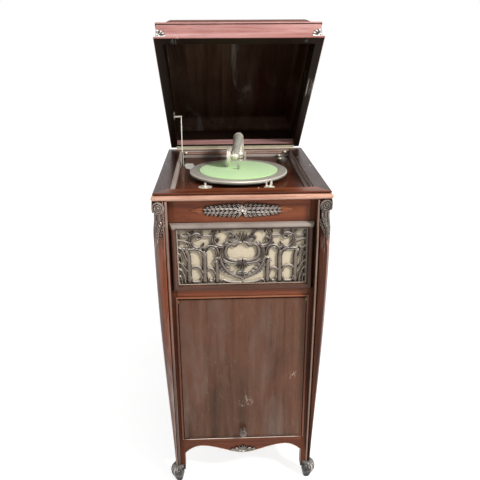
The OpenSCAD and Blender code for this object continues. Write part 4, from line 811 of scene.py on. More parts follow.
CAD_FINISHES = {
    "panels": ("side_panel_left", "side_panel_right"),
    "plain": ("back_panel",),
    "plain_cross": ("bottom_board", "board_cleats", "divider_shelf", "record_shelf", "horn"),
    "rails": ("frieze_rail", "mid_rail"),
    "apron": ("front_apron",),
    "rim": ("case_rim",),
    "moulding": ("top_moulding",),
    "well": ("well_lining",),
    "board": ("motor_board",),
    "door": ("door_panel",),
    "bead": ("door_opening_bead",),
    "knob": ("door_knob",),
    "grille": ("grille_frame",),
    "lid": ("lid_frame",),
    "lid_slopes": ("lid_slopes",),
    "lid_top": ("lid_top",),
    "rubber": ("lid_buffers",),
    "nickel": ("stay_bracket", "stay_rod", "stay_fork", "crank_escutcheon", "brake_lever", "speed_knob",
        "control_plates", "tonearm_base", "tonearm_turret", "tonearm", "sound_box", "stylus_bar"),
    "cup": ("needle_cups",),
    "plate": ("stop_plate",),
    "platter": ("turntable",),
    "hinge": ("lid_hinge_leaf", "case_hinge_leaf"),
    "brass": ("door_pivot_pins", "door_pivot_plates", "intermediate_gear", "governor"),
    "steel": ("spindle", "spring_barrel", "winding_shaft", "winding_gear"),
    "iron": ("motor_frame", "horn_throat"),
}


# ---------- legs ----------


def ease(t):
    """Rises smoothly from 0 to 1."""
    return (1 - math.cos(math.pi * min(max(t, 0), 1))) / 2


def leg_width(z):
    """Width of a leg at a height, from its inner edge to its post."""
    if z < ANKLE_Z:
        return ANKLE_W
    if z < KNEE_Z:
        return ANKLE_W + (LEG_W - ANKLE_W) * math.sin(math.pi / 2 * (z - ANKLE_Z) / (KNEE_Z - ANKLE_Z)) ** 1.25
    return LEG_W - NECK_IN * ease((z - KNEE_Z - 24) / 42)


def leg_side(w, s):
    """Half of a leg's outline: the flat, the bead between two grooves, and the edge of the post."""
    g, r = STILE_FLAT, LEG_BEAD
    c = w - r - 0.2
    turns = [math.radians(a) for a in range(-90, 91, 18)]
    bead = [(c + r * math.cos(a), g + r + r * math.sin(a)) for a in turns]
    f = g + 2 * r + 1
    edge = [(c - 1.4, f - 0.4), (c - 0.6, f), (w - 1.5, f + 0.5), (w - 0.4, f + 1.4), (w, f + 3)]
    return [(s, g), (c - 1.6, g)] + bead + edge


def post_radius(z):
    """Radius of a front leg's round post, which is sunk under the carving on the knee."""
    return leg_width(z) - POST_AT - POST_SUNK * ease((z - KNEE_Z + 30) / 26)


def leg_ring(z, rear):
    """A leg's outline at a height, as (u, v) from its inner corner."""
    w = leg_width(z)
    below = z < SHIN_Z
    stile = min(STILE, w - 2)
    s = stile + (w - 2 - stile) * ease((SHIN_Z - z) / 45)
    inner = 0.5 if below else INNER_X - LEG_IN_X
    side = leg_side(w, s)
    flat = BACK_Y - LEG_IN_Y
    if rear:
        start = max(0, flat - w) * ease((SHIN_Z - z) / 50)
        ring = [(inner, 0), (s, 0)] + side + [(w, flat - 3), (w - 1, flat - 1), (w - 3, flat), (inner, flat)]
        return [(u, start + v * (flat - start) / flat) for u, v in ring]
    back = 0.5 if below else 11
    o, r = POST_AT, post_radius(z)
    turns = [math.radians(7.5 * k) for k in range(1, 12)]
    post = [(o + r * math.cos(a), o + r * math.sin(a)) for a in turns]
    other_side = [(v, u) for u, v in reversed(side)]
    return [(inner, 0), (s, 0)] + side + post + other_side + [(0, s), (0, back), (inner, back)]


def leg_place(side, rear):
    """Turns a leg's own (u, v, z) into a point: u outwards along X, v towards the front or the back."""
    along = 1 if rear else -1
    return lambda u, v, z: spot(side * (LEG_IN_X + u), along * (LEG_IN_Y + v), z)


# Height, middle and half width of the foot, and how square it is.
FOOT = ((0, 22, 9.6), (2.5, 22, 10.8), (9, 22, 12.6), (18, 22.6, 15.2), (28, 23.8, 18.6), (38, 24.9, 20.9),
    (47, 25, 21.2), (55, 23, 19.8), (60.5, 19.5, 17.6), (63.5, 16.6, 15), (64, 16, 11))
FOOT_SQUARE = 2.7


def squared(a, half):
    """A point at an angle on a rounded square."""
    c, s = math.cos(a), math.sin(a)
    far = half / (abs(c) ** FOOT_SQUARE + abs(s) ** FOOT_SQUARE) ** (1 / FOOT_SQUARE)
    return far * c, far * s


def foot_form(form, place, rear):
    """The rounded foot under the ankle."""
    flat = BACK_Y - LEG_IN_Y
    rings = []
    for z, centre, half in smooth(FOOT, 4):
        ring = []
        for k in range(32):
            a, b = squared(2 * math.pi * k / 32, half)
            ring.append(place(centre + a, flat - centre + b if rear else centre + b, z))
        rings.append(ring)
    form.loft(rings)


def foot_at(z):
    """Middle and half width of the foot at a height."""
    for low, high in zip(FOOT, FOOT[1:]):
        if z <= high[0]:
            t = (z - low[0]) / (high[0] - low[0])
            return low[1] + (high[1] - low[1]) * t, low[2] + (high[2] - low[2]) * t
    return FOOT[-1][1:]


def curl(x, z, radius, start, turns, inward=0.8):
    """Points of a flat spiral round a centre."""
    n = int(abs(turns) * 14)
    return [(x + radius * (1 - inward * k / n) * math.cos(start + 2 * math.pi * turns * k / n),
        z + radius * (1 - inward * k / n) * math.sin(start + 2 * math.pi * turns * k / n))
        for k in range(n + 1)]


def foot_leaves(form, place):
    """Leaves over the bulge of a foot, with a curl on each side."""

    def wrap(s, z, out):
        centre, half = foot_at(max(z, 0))
        a, b = squared(math.pi / 4 + s / max(half, 9), half + out)
        return place(centre + a, centre + b, max(z, 0.3))

    leaf(form, (0, 62), -90, 56, 17, 2.6, wrap, 0, -0.8, 12)
    for s in (-1, 1):
        leaf(form, (s * 7, 62), -90 + s * 14, 40, 11, 2.3, wrap, -s * 14, -0.8, 10)
        leaf(form, (s * 3, 34), -90 + s * 22, 28, 8, 1.9, wrap, -s * 16, -0.8, 8)
        strand(form, curl(s * 19, 45, 9.5, math.pi / 2, -s * 1.6), 3.6, 0, 2.8, ROUND, wrap, -0.8)
        strand(form, [(s * 2, 63), (s * 10, 61), (s * 19, 57.5), (s * 25, 52)], 3.4, 0.8, 2.6, ROUND, wrap,
            -0.8)
        leaf(form, (s * 14, 34), -90 - s * 6, 22, 7, 1.8, wrap, s * 10, -0.8, 8)


def volute(form, place, z, radius, axis_u):
    """A spiral disc that faces the front or the side at the top of a leg."""
    mid, reach = 39.5, LEG_W - 3.2

    def at(along, out):
        return place(out, along, z) if axis_u else place(along, out, z)

    face = at(mid, reach)
    axis = (at(mid, reach + 1) - face).normalized()
    edge = [(0, -22), (radius - 0.6, -22), (radius - 0.6, -1.6), (radius, -0.8), (radius - 0.2, 0.9),
        (radius - 1.4, 1.5), (radius - 3, 1.2), (radius - 3.6, 0), (0, 0)]
    turned(form, edge, face, axis, 48)
    up = Vector((0, 0, 1))
    inward = (at(mid - 1, reach) - face).normalized()
    spiral(form, face + axis * 0.3 * MM, up, inward, radius - 3.4, 2.1, 1.75)
    turned(form, [(0, 2.9), (1.6, 2.7), (2.9, 1.6), (3.3, 0), (3.3, -1)], face, axis, 24)


def knee_leaf(form, place, rise):
    """Acanthus that wraps the post from under the two spiral discs."""

    def wrap(s, z, out):
        r = post_radius(z)
        half = r * math.pi / 4
        a = math.pi / 4 + max(min(s, half), -half) / r
        u, v = (r + out) * math.cos(a), (r + out) * math.sin(a)
        beyond = abs(s) - half
        if beyond > 0:
            u, v = (u, v - beyond) if s < 0 else (u - beyond, v)
        return place(POST_AT + u, POST_AT + v, z)

    top = MOULD_Z - 36
    for s in (-1, 1):
        strand(form, [(s * 14, top + 6), (s * 15, top - 8), (s * 12, top - 24), (s * 6, top - 40)], 6.5, 2.5,
            rise, GROOVED, wrap, -1)
        strand(form, [(s * 6, top + 8), (s * 6.5, top - 8), (s * 5, top - 24), (s * 2, top - 36)], 6.5, 1.5,
            rise * 1.1, ROUND, wrap, -1)
    for k in range(6):
        z, size = top - 16 - 9.5 * k, 1 - 0.1 * k
        for s in (-1, 1):
            heading = -34 - 6 * k if s > 0 else 214 + 6 * k
            leaf(form, (s * 1.5, z), heading, 27 * size, 13 * size, rise * 1.3, wrap, -62 * s, -0.8, 9, 0.5)
            leaf(form, (s * 3, z - 5), heading - 26 * s, 20 * size, 8 * size, rise, wrap, -60 * s, -0.8, 8,
                0.5)
            strand(form, curl(s * 21 * size, z - 9 * size, 4.6 * size, math.pi / 2, -s * 1.15, 0.7), 3 * size,
                0, rise * 1.15, ROUND, wrap, -0.8)
    strand(form, [(0, top - 18), (0, top - 40), (0, top - 66)], 3.4, 1, rise * 1.3, ROUND, wrap, -1)
    leaf(form, (0, top - 60), -90, 26, 9, rise * 1.1, wrap, 0, -0.8)


class DressLegs(bpy.types.Operator):
    """Builds the four legs: grooved shafts, and the front ones' scrolls, knee leaves and toes"""

    bl_idname = "gramophone.legs"
    bl_label = "Legs"

    def execute(self, context):
        rise = context.scene.gramophone_sizes.knee_leaf_rise / MM
        levels = [44, 60, 74, 88, 102, 117, SHIN_Z - 0.1, SHIN_Z]
        levels += [SHIN_Z + (MOULD_Z - SHIN_Z) * k / 60 for k in range(1, 61)]
        for word, side in (("left", -1), ("right", 1)):
            for rear in (False, True):
                name = f"leg_{'rear' if rear else 'front'}_{word}"
                place = leg_place(side, rear)
                shaft = Form()
                shaft.loft([[place(u, v, z) for u, v in leg_ring(z, rear)] for z in levels])
                around = len(leg_ring(MOULD_Z, rear))

                def zone(index, around=around, rear=rear, side=side):
                    """A face's finish: 1 for the bead, painted pale as a highlight, 2 for the flat, painted
                    dark as shade, 3 for the right legs' lit outer and back faces, and 0 for the rest, painted
                    darker as shade on the right legs.
                    """
                    at = index % around
                    mirror = around if rear else around - 2 - at
                    if index >= around * (len(levels) - 1):
                        return 0
                    if 7 <= min(at, mirror) < 11:
                        return 1
                    if min(at, mirror) < 4 and not (side > 0 and at < around // 2):
                        return 2
                    return 3 if side > 0 and (rear or at < around // 2 - 1) else 0

                shaft.make(name + "_shaft", "legs_right" if side > 0 else "legs_left", "case",
                    "mahogany_legs", [name], 30, (("leg_bead", "leg_flat", "legs"), zone))
                carving = Form()
                foot_form(carving, place, rear)
                if not rear:
                    foot_leaves(carving, place)
                carving.make(name + "_foot", "foot", "case", "mahogany_legs", (), 50)
                if not rear:
                    top = Form()
                    volute(top, place, MOULD_Z - 17.6, 17, False)
                    volute(top, place, MOULD_Z - 17.6, 17, True)
                    knee_leaf(top, place, rise)
                    finish = "knee_right" if side > 0 else "knee"
                    top.make(name + "_carving", finish, "case", "mahogany_legs", (), 50)
        return {"FINISHED"}


# ---------- grille ----------

# Curves of the left half of the pierced panel, in millimetres from its middle: the
# points, the width, how much it swells, and whether a groove runs along it.
FRET_CURVES = (
    ([(147, -85), (147, -34), (148, 3), (156, 20)], 13, 0, False),
    ([(104, -85), (104, -40), (104, 3), (110, 15)], 14, 0, False),
    ([(70, -85), (70, -46), (71, -21), (77, -12)], 12, 0, False),
    ([(152, 20), (138, 21), (122, 20), (111, 12), (106, -3)], 9, 1, True),
    ([(143, -40), (136, -32), (125, -31), (115, -38), (110, -52)], 7.5, 0, False),
    ([(143, -61), (139, -75), (128, -78), (116, -75), (111, -61)], 5.5, 0, False),
    ([(101, 15), (95, 26), (84, 31), (74, 26), (69, 14), (69, 0)], 10.5, 1, True),
    ([(99, -46), (92, -38), (85, -38), (78, -46), (74, -58)], 7, 0, False),
    ([(96, -64), (91, -75), (83, -76), (76, -67)], 5, 0, False),
    ([(182, 33), (168, 24), (160, 12), (156, -3), (148, -15)], 6.5, 0, False),
    ([(182, 15), (171, 6), (167, -9), (169, -21)], 5, 0, False),
    ([(182, -14), (168, -21), (158, -37), (150, -46)], 6.5, 0, False),
    ([(182, -32), (169, -41), (161, -58), (158, -85)], 6, 0, False),
    ([(182, -55), (171, -61), (168, -76), (168, -85)], 5, 0, False),
    ([(111, 64), (125, 67), (138, 61), (142, 47), (136, 33), (125, 25), (113, 29)], 9, 2, True),
    ([(111, 64), (113, 55), (122, 52), (127, 58), (122, 61)], 5, 0, False),
    ([(125, 25), (122, 20)], 7, 0, False),
    ([(138, 61), (150, 74), (152, 84)], 6, 0, False),
    ([(179, 80), (166, 63), (153, 61), (141, 66), (131, 82)], 6.5, 0, True),
    ([(112, 84), (108, 64), (96, 61), (82, 62), (74, 73), (71, 84)], 7, 0, True),
    ([(71, 77), (78, 64), (79, 49), (72, 36), (60, 30), (49, 31)], 9, 2, True),
    ([(78, 49), (68, 58), (64, 49), (69, 41)], 5, 0, False),
    ([(72, 84), (56, 80), (41, 78), (31, 70), (26, 60)], 7, 1, True),
    ([(22, 42), (31, 46), (37, 54), (34, 62), (28, 60)], 5, 0, False),
    ([(182, 51), (165, 49), (153, 45), (139, 41)], 6.5, 0, False),
    ([(146, 41), (148, 33), (156, 35)], 4.5, 0, False),
    ([(0, 44), (10, 42), (16, 36), (20, 31), (30, 36), (41, 30), (46, 15), (44, 1), (35, -9),
        (18, -15), (0, -14)], 8.5, 1.5, False),
    ([(38, 41), (50, 33), (57, 20), (59, 6), (55, -8), (45, -17), (31, -21), (17, -23), (0, -18)],
        7.5, 2, True),
    ([(66, 0), (61, -6), (56, -15)], 7, 0, False),
    ([(77, -12), (68, -5), (60, -10), (56, -22)], 7, 0, False),
    ([(60, -14), (54, -27), (44, -43), (30, -56), (14, -64), (0, -66)], 8, 1, False),
    ([(65, -85), (56, -73), (45, -77), (28, -81), (0, -82)], 5.5, 0, False),
)
# Roots, directions and bends of the small leaves on those curves.
FRET_LEAVES = (
    ((82, -16), 160, 60), ((114, -48), 150, 60), ((66, 82), 215, 60), ((112, 31), 160, -70),
    ((28, 62), 200, 70), ((58, 8), 20, 80), ((56, -4), -40, 60), ((47, 30), 45, 80),
    ((139, 40), 20, 70), ((136, 66), 70, 60), ((76, 66), 20, 80), ((80, 44), -20, -80),
    ((108, 18), 90, 80), ((156, 20), 60, -70), ((71, 30), 10, 70),
)
# How far the panel's back lies behind the rails, the width of its frame's bars, and how much its
# drawing is widened to fill the frame.
FRET_BACK, FRAME_BAR = 7, 20
FRET_SPREAD = (box_mm("grille_frame")[1].x - FRAME_BAR) / 176.5


class DressGrille(bpy.types.Operator):
    """Carves the pierced panel in relief and stretches the speaker cloth behind it"""

    bl_idname = "gramophone.grille"
    bl_label = "Grille"

    def execute(self, context):
        rise = context.scene.gramophone_sizes.fret_rise / MM
        form = Form()
        shells = []
        for side in (-1, 1):
            place = mirrored(side, GRILLE_MID, FRET_SPREAD)
            for points, width, swell, groove in FRET_CURVES:
                strand(form, points, width, swell, rise, GROOVED if groove else CHAMFERED, place, -FRET_BACK)
            knob = [(0, 0), (6.5, 0), (6.5, rise * 0.5), (5, rise * 0.8), (2.5, rise * 0.92),
                (0, rise * 0.95)]
            for i in range(8):
                turned(form, knob, place(175.5, -84 + 22 * i, -FRET_BACK), (0, -1, 0), 18)
            form.slab((174.5, -87.5, -FRET_BACK), (188, 87.5, -1.5), place)
            self.leaves(form, place, rise, shells)
        for low, high in ((-87.5, -82.5), (79, 87.5)):
            form.slab((-188, low, -FRET_BACK), (188, high, -1.8), mirrored(1, GRILLE_MID))
        form.make("grille_carved_fretwork", "carved", "case", "carved_wood", ["grille_fretwork"], 55,
            (("shell",), lambda index: any(first <= index < last for first, last in shells)))
        self.sight_bead()
        self.cloth()
        return {"FINISHED"}

    def sight_bead(self):
        """A bead round the frame's opening, painted pale as the highlight along it."""
        low, high = box_mm("grille_frame")
        half_x, half_z = high.x - FRAME_BAR + 0.6, (high.z - low.z) / 2 - FRAME_BAR + 0.6
        turns = [2 * math.pi * k / 12 for k in range(12)]
        rings = [[on_front(a * (half_x + 1.3 * math.cos(t)), GRILLE_MID + b * (half_z + 1.3 * math.cos(t)),
            3.4 + 1.3 * math.sin(t)) for t in turns] for a, b in ((-1, -1), (1, -1), (1, 1), (-1, 1))]
        bead = Form()
        bead.loft(rings + [rings[0]], ends=False)
        bead.make("grille_sight_bead", "sight_bead", "case", "mahogany_case", (), 50)

    def leaves(self, form, place, rise, shells):
        """The shell over the cartouche, the knot under it, the festoons, and leaves on the scrolls."""
        back = -FRET_BACK
        first = len(form.faces)
        for i in range(7):
            leaf(form, (1 + 1.4 * i, 42 - 0.5 * i), 86 - 14 * i, 31 - 0.9 * i, 7.6, rise * 1.15, place, -8,
                back)
        shells.append((first, len(form.faces)))
        strand(form, [(0, 41), (9, 42), (15, 38), (20, 32)], 6, 1, rise * 1.25, CHAMFERED, place, back)
        for i in range(3):
            leaf(form, (1 + 2.5 * i, -13), 272 + 13 * i, 31 - 4 * i, 8, rise * 1.25, place, 10, back)
        strand(form, [(0, -10), (8, -10), (13, -15)], 6, 0, rise * 1.3, CHAMFERED, place, back)
        for i, at in enumerate(((58, -20), (52, -30), (46, -39), (38, -47), (29, -54), (19, -59), (8, -62))):
            leaf(form, at, -78 + 12 * i, 15, 8, rise * 1.2, place, 55, back, 8, 0.4)
            leaf(form, at, 160 + 12 * i, 14, 7.5, rise * 1.15, place, -45, back, 8, 0.4)
        for i in range(3):
            leaf(form, (0.5, -48), 270 + 30 * i, 26 - 4 * i, 9, rise * 1.1, place, 24, back)
        for root, turn, hook in FRET_LEAVES:
            leaf(form, root, turn, 14, 7.5, rise * 1.05, place, hook, back)
        for i in range(7):
            leaf(form, (178, 66 - 22 * i), 205, 13, 6.5, rise, place, 50, back)

    def cloth(self):
        """One thin sheet with the slight waves of old cloth."""
        across, down, half, high = 94, 44, 187.6, 87.2
        points, faces = [], []
        for j in range(down + 1):
            for i in range(across + 1):
                x, z = half * (2 * i / across - 1), high * (2 * j / down - 1)
                wave = 0.22 * math.sin(x / 31 + z / 47) + 0.16 * math.sin(z / 19 - x / 83)
                points.append(on_front(x, GRILLE_MID + z, -FRET_BACK - 0.55 + wave * 0.9))
        for j in range(down):
            for i in range(across):
                k = j * (across + 1) + i
                faces.append([k, k + 1, k + across + 2, k + across + 1])
        sheet = Form()
        sheet.add(points, faces)
        piece = sheet.make("speaker_cloth", "cloth", "case", "cloth", ["grille_cloth"], 60)


# ---------- sprays on the frieze, the apron and the lid ----------


class DressCarvings(bpy.types.Operator):
    """Carves the leafy spray on the frieze, the one on the apron and the petals on the lid"""

    bl_idname = "gramophone.carvings"
    bl_label = "Carvings"

    def execute(self, context):
        rise = context.scene.gramophone_sizes.carving_rise / MM
        self.frieze(rise)
        self.apron(rise)
        self.apron_beads()
        self.petals()
        return {"FINISHED"}

    def frieze(self, rise):
        """A long spray of paired leaves about a rosette, with flat tips."""
        middle = sum(corner.z for corner in box_mm("frieze_carving")) / 2
        form, tips = Form(), Form()
        for side in (-1, 1):
            place = mirrored(side, middle)
            strand(form, [(0, 0), (50, 0), (94, 0)], 11, 3, rise * 0.45, ROUND, place, SEAT)
            for i in range(8):
                x = 92 - 12.4 * i
                size = math.sqrt(max(1 - (x / 130) ** 2, 0.3))
                for s in (-1, 1):
                    leaf(form, (x - 7, s * 1), s * (43 + 1.5 * i), 30 * size, 9 * size, rise * 1.3, place,
                        -s * 16, SEAT, 10, 0.7)
                    leaf(form, (x, s * 1), s * 24, 25 * size, 7.4 * size, rise * 1.7, place, -s * 20, SEAT,
                        9, 0.7)
            for s in (-1, 0, 1):
                leaf(tips, (96, s * 3), s * 12, 50 - 18 * abs(s), 13 - 3 * abs(s), rise * 0.6, place,
                    -s * 8, SEAT)
        for k in range(10):
            leaf(form, (0, 0), 36 * k + 18, 20 - 4 * (k % 2), 7.5, rise * 1.8, mirrored(1, middle),
                20, SEAT, 8, 0.3)
        knob = [(0, 0), (4, 0), (3.8, rise * 1.5), (2.4, rise * 1.95), (0, rise * 2.1)]
        turned(form, knob, on_front(0, middle, 0), (0, -1, 0), 20)
        tips.make("frieze_spray_tips", "bead", "case", "carved_wood", (), 55)
        form.make("frieze_spray", "spray", "case", "carved_wood", ["frieze_carving"], 55)

    def apron(self, rise):
        """A small spray with scrolls at the middle of the apron."""
        middle = box_mm("apron_carving")[0].z + 9
        form = Form()
        for side in (-1, 1):
            place = mirrored(side, middle)
            strand(form, [(0, -7.5), (16, -5.5), (30, -0.5), (39, 5)], 4.5, 2, rise * 1.1, ROUND, place, SEAT)
            for i in range(5):
                x = 4 + 6.4 * i
                z = -5.5 + 0.0075 * x * x
                leaf(form, (x, z), 66 - 8 * i, 17 - 1.6 * i, 7.5, rise * 1.25, place, -45, SEAT)
                leaf(form, (x + 2, z - 1.5), 22 - 3 * i, 14 - i, 6.5, rise * 1.45, place, 35, SEAT)
            for k in range(3):
                leaf(form, (0.5, -4), 88 - 27 * k, 23 - 3 * k, 8.5, rise * 1.5, place, -16, SEAT)
            strand(form, curl(20, 6, 5, 0, 1.2), 3, 0, rise * 1.5, ROUND, place, SEAT)
        knob = [(0, 0), (6, 0), (5.6, rise * 1.1), (3.6, rise * 1.6), (0, rise * 1.8)]
        turned(form, knob, on_front(0, middle - 4, 0), (0, -1, 0), 24)
        form.make("apron_spray", "hem", "case", "carved_wood", ["apron_carving"], 55)

    def apron_beads(self):
        """A hem along the apron's wavy edge and a fillet along its top, both painted pale as highlight lines.
        """
        low, high = box_mm("front_apron")
        span, crest, turn = high.x - 0.6, 29, 0.72
        points = []
        for k in range(41):
            x = span * (k / 20 - 1)
            t = abs(x) / high.x
            lift = crest * ease(t / turn)
            if t >= turn:
                lift = crest - (crest - 2) * ((t - turn) / (1 - turn)) ** 2
            points.append((x, low.z + lift + 1.1))
        top = high.z - 1.3
        form = Form()
        strand(form, points, 2.0, 0, 1.5, ROUND, on_front, SEAT)
        strand(form, [(-span, top), (0, top), (span, top)], 2.4, 0, 1.8, ROUND, on_front, SEAT)
        form.make("apron_beads", "fillet", "case", "mahogany_case", (), 50)

    def petals(self):
        """Dark petals in a fan on a pale plaque at each end of the lid's front rail."""
        form, plaque = Form(), Form()
        outward = in_lid(0, -1, 0) - in_lid(0, 0, 0)
        root_x, front, root_z = 221, -576.7, 14.8
        stud = [(0, 0), (2.6, 0), (2.4, 1.6), (0, 2.4)]
        for side in (-1, 1):

            def place(x, z, out, side=side):
                return in_lid(side * (root_x + x), front - out, root_z + z)

            for turn in (108, 138, 168):
                way = math.radians(turn)
                leaf(form, (5 * math.cos(way), 5 * math.sin(way)), turn, 17, 6.5, 2.6, place, 0, -0.2)
            turned(form, stud, in_lid(side * root_x, front + 0.1, root_z), outward, 16)
            rings = []
            for inset, out in ((0, -0.2), (0, 0.7), (0.5, 1.1), (2.2, 1.1), (2.6, 0.8), (13, 0.8)):
                ring = [(4 - inset, -5 + inset)]
                for a in range(0, 87, 3):
                    r, way = 24.5 - inset + 0.9 * abs(math.sin(math.radians(3 * a))), math.radians(92 + a)
                    ring.append((4 + r * math.cos(way), -5 + r * math.sin(way)))
                rings.append([place(x, z, out) for x, z in ring])
            plaque.loft(rings)
        plaque.make("lid_fan_plaques", "fan", "lid", "mahogany_lid", (), 40)
        form.make("lid_petals", "petals", "lid", "mahogany_lid", ["lid_corner_fans"], 55)


# ---------- lid ----------


class DressLid(bpy.types.Operator):
    """Lines the inside of the lid with dark veneer, painted darker still as the shade inside it, and adds the
    screws of its hinge
    """

    bl_idname = "gramophone.lid"
    bl_label = "Lid"

    def execute(self, context):
        (half_x, half_y), mid_y = LID_HALF, -2.7 - LID_HALF[1]
        steps = 24
        rings = []
        for out, row in ((0.9, range(steps + 1)), (0.3, range(steps, -1, -1))):
            for k in row:
                t = k / steps
                foot = 18 + (LID_INSET - 18) * t
                z = LID_RAIL + (LID_ROOF - LID_RAIL) * (t - 0.11 * math.sin(2 * math.pi * t))
                if foot < LID_RAIL_IN + 0.5:
                    foot, z = LID_RAIL_IN + 0.5, max(z, LID_RAIL - 1.5)
                a, b = half_x - foot - 0.9 + out, half_y - foot - 0.9 + out
                corners = ((-a, -b), (a, -b), (a, b), (-a, b))
                rings.append([in_lid(x, mid_y + y, z - 0.9 + out) for x, y in corners])
        form = Form()
        form.loft(rings + [rings[0]], ends=False)
        a, b = half_x - LID_INSET - 0.6, half_y - LID_INSET - 0.6
        form.slab((-a, mid_y - b, LID_ROOF - 0.7), (a, mid_y + b, LID_ROOF - 0.1), in_lid)
        form.make("lid_lining", "lining", "lid", "mahogany_lid", (), 20)
        screws = Form()
        down = in_lid(0, 0, -1) - in_lid(0, 0, 0)
        for i in range(13):
            screw(screws, in_lid(-192 + 32 * i, -10.5, 0.25), down, 2.4, 37 * i, 0.3)
        screws.make("lid_hinge_screws", "hinge", "lid", "brass", (), 50)
        return {"FINISHED"}


# ---------- turntable, tonearm and fittings ----------


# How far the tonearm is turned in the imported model, in degrees.
ARM_TURN = -6.9


def in_arm(x, y, z):
    """A point of the tonearm, y back from its pivot, before its turn."""
    pivot = Vector(joint("tonearm_swing")["pos_m"])
    way = Matrix.Rotation(math.radians(ARM_TURN), 3, "Z") @ (Vector((x, y, 0)) * MM)
    return Vector((pivot.x + way.x, pivot.y + way.y, z * MM))


class DressTurntable(bpy.types.Operator):
    """Lays the soft-edged felt mat on the turntable"""

    bl_idname = "gramophone.turntable"
    bl_label = "Turntable"

    def execute(self, context):
        low, high = box_mm("felt_mat")
        hole, edge, thick = 4.7, (high.x - low.x) / 2, high.z - low.z
        profile = [(hole, 0), (edge - 0.4, 0), (edge, thick * 0.35), (edge - 0.5, thick * 0.8)]
        profile += [(edge - 1.4, thick)]
        profile += [(edge - 1.4 - (edge - hole - 3) * k / 14, thick - 0.05 * (k % 2)) for k in range(1, 15)]
        profile += [(hole, thick - 0.2), (hole, 0)]
        form = Form()
        ways = [2 * math.pi * k / 160 for k in range(160)]
        rings = [[spot(r * math.cos(a), -PLATTER_AHEAD + r * math.sin(a), low.z + h) for a in ways]
            for r, h in profile]
        form.loft(rings, ends=False)
        form.make("felt_mat_soft", "felt", "turntable_group", "felt", ["felt_mat"], 40)
        return {"FINISHED"}


class DressTonearm(bpy.types.Operator):
    """Adds the rings, screws and diaphragm of the tonearm and its sound box"""

    bl_idname = "gramophone.tonearm"
    bl_label = "Tonearm"

    def execute(self, context):
        low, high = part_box("sound_box")
        outward = (in_arm(-1, 0, 0) - in_arm(0, 0, 0)).normalized()
        front = (low + high) / 2 + outward * 6 * MM
        rings = [(3, 0), (3.4, -3.4)]
        for r in (9, 15, 21):
            top = -3.2 + (r - 9) / 30
            rings += [(r, top), (r + 0.6, top + 0.6), (r + 1.4, top + 0.1)]
        form = Form()
        turned(form, rings + [(23.4, -2.9), (23, -4), (3, -4)], front, outward, 72)
        form.make("sound_box_diaphragm", "platter", "reproducer", "nickel", (), 30)
        bolts, up = Form(), Vector((0, 0, 1))
        three_screws(bolts, front, (up, outward.cross(up), outward), 26.6, 1.7, 40, 50)
        bolts.make("sound_box_screws", "nickel", "reproducer", "nickel", (), 50)
        return {"FINISHED"}


class DressFittings(bpy.types.Operator):
    """Adds screws, buttons and small plates round the well, the crank socket and the back"""

    bl_idname = "gramophone.fittings"
    bl_label = "Fittings"

    def execute(self, context):
        axes = (Vector((1, 0, 0)), Vector((0, 1, 0)), Vector((0, 0, 1)))
        form = Form()
        for pivot, height, reach, radius, first, turn in (
            ("speed_turn", 2.5, 15, 1.7, 30, 40),
            ("brake_turn", 2, 12, 1.7, 0, 40),
            ("tonearm_swing", 3.8, 31, 2, -90, 30),
        ):
            at = Vector(joint(pivot)["pos_m"])
            at.z = (BOARD_Z + height) * MM
            three_screws(form, at, axes, reach, radius, first, turn)
        low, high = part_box("crank_escutcheon")
        middle = Vector((low.x + 2 * MM, (low.y + high.y) / 2, (low.z + high.z) / 2))
        three_screws(form, middle, (axes[1], axes[2], axes[0]), 14, 1.8, 90, 70)
        button = [(0, -0.2), (2.2, -0.2), (2.2, 0.5), (1.4, 1), (0, 1.2)]
        for x, y in ((204.6, 131), (225.8, 3.4), (45.6, -254)):
            turned(form, button, spot(x, y, RIM_Z), axes[2], 18)
        for x in (-178, 178):
            turned(form, [(0, -0.3), (5, -0.3), (5, 1), (3.6, 2.4), (0, 3)], spot(x, 271.8, BOARD_Z + 18),
                (0, -1, 0), 24)
        form.make("small_screws", "nickel", "case", "nickel", (), 50)
        back = Form()
        row = [(x, z, 25 + x) for x in (-186, -62, 62, 186) for z in (138, 928)]
        row += [(x, z, z) for z in (300, 470, 640, 790) for x in (-190, 190)]
        for x, z, turn in row:
            screw(back, spot(x, BACK_Y, z), (0, 1, 0), 3.2, turn)
        back.make("back_screws", "brass", "case", "brass", (), 50)
        return {"FINISHED"}


class DressWell(bpy.types.Operator):
    """Runs the stepped beads round the walls of the well, painted pale as highlight lines"""

    bl_idname = "gramophone.well"
    bl_label = "Well"

    def execute(self, context):
        low, high = box_mm("well_lining")
        form = Form()
        inner_x, front, back = high.x, low.y - SHIFT, high.y - SHIFT
        corners = [(a * inner_x, front, -a, 1) for a in (-1, 1)]
        corners += [(a * inner_x, back, -a, -1) for a in (1, -1)]
        for z, out in ((RIM_Z - 8, 1.8), (BOARD_Z + 23, 2.4), (BOARD_Z + 13, 3.2)):
            rings = []
            for x, y, a, b in corners:
                ring = []
                for j in range(9):
                    t = math.pi * j / 8
                    off = SEAT + (out - SEAT) * math.sin(t)
                    ring.append(spot(x + a * off, y + b * off, z + 1.5 * math.cos(t)))
                rings.append(ring)
            form.loft(rings + [rings[0]], ends=False)
        form.make("well_beads", "well_bead", "case", "mahogany_case", (), 40)
        return {"FINISHED"}


class DressFrame(bpy.types.Operator):
    """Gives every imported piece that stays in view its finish"""

    bl_idname = "gramophone.frame"
    bl_label = "Packed pieces"

    def execute(self, context):
        finishes = looks()
        for name, nodes in CAD_FINISHES.items():
            for node in nodes:
                for material_slot in frame["nodes"][node].material_slots:
                    material_slot.material = finishes[name]
        return {"FINISHED"}


# ---------- stage ----------


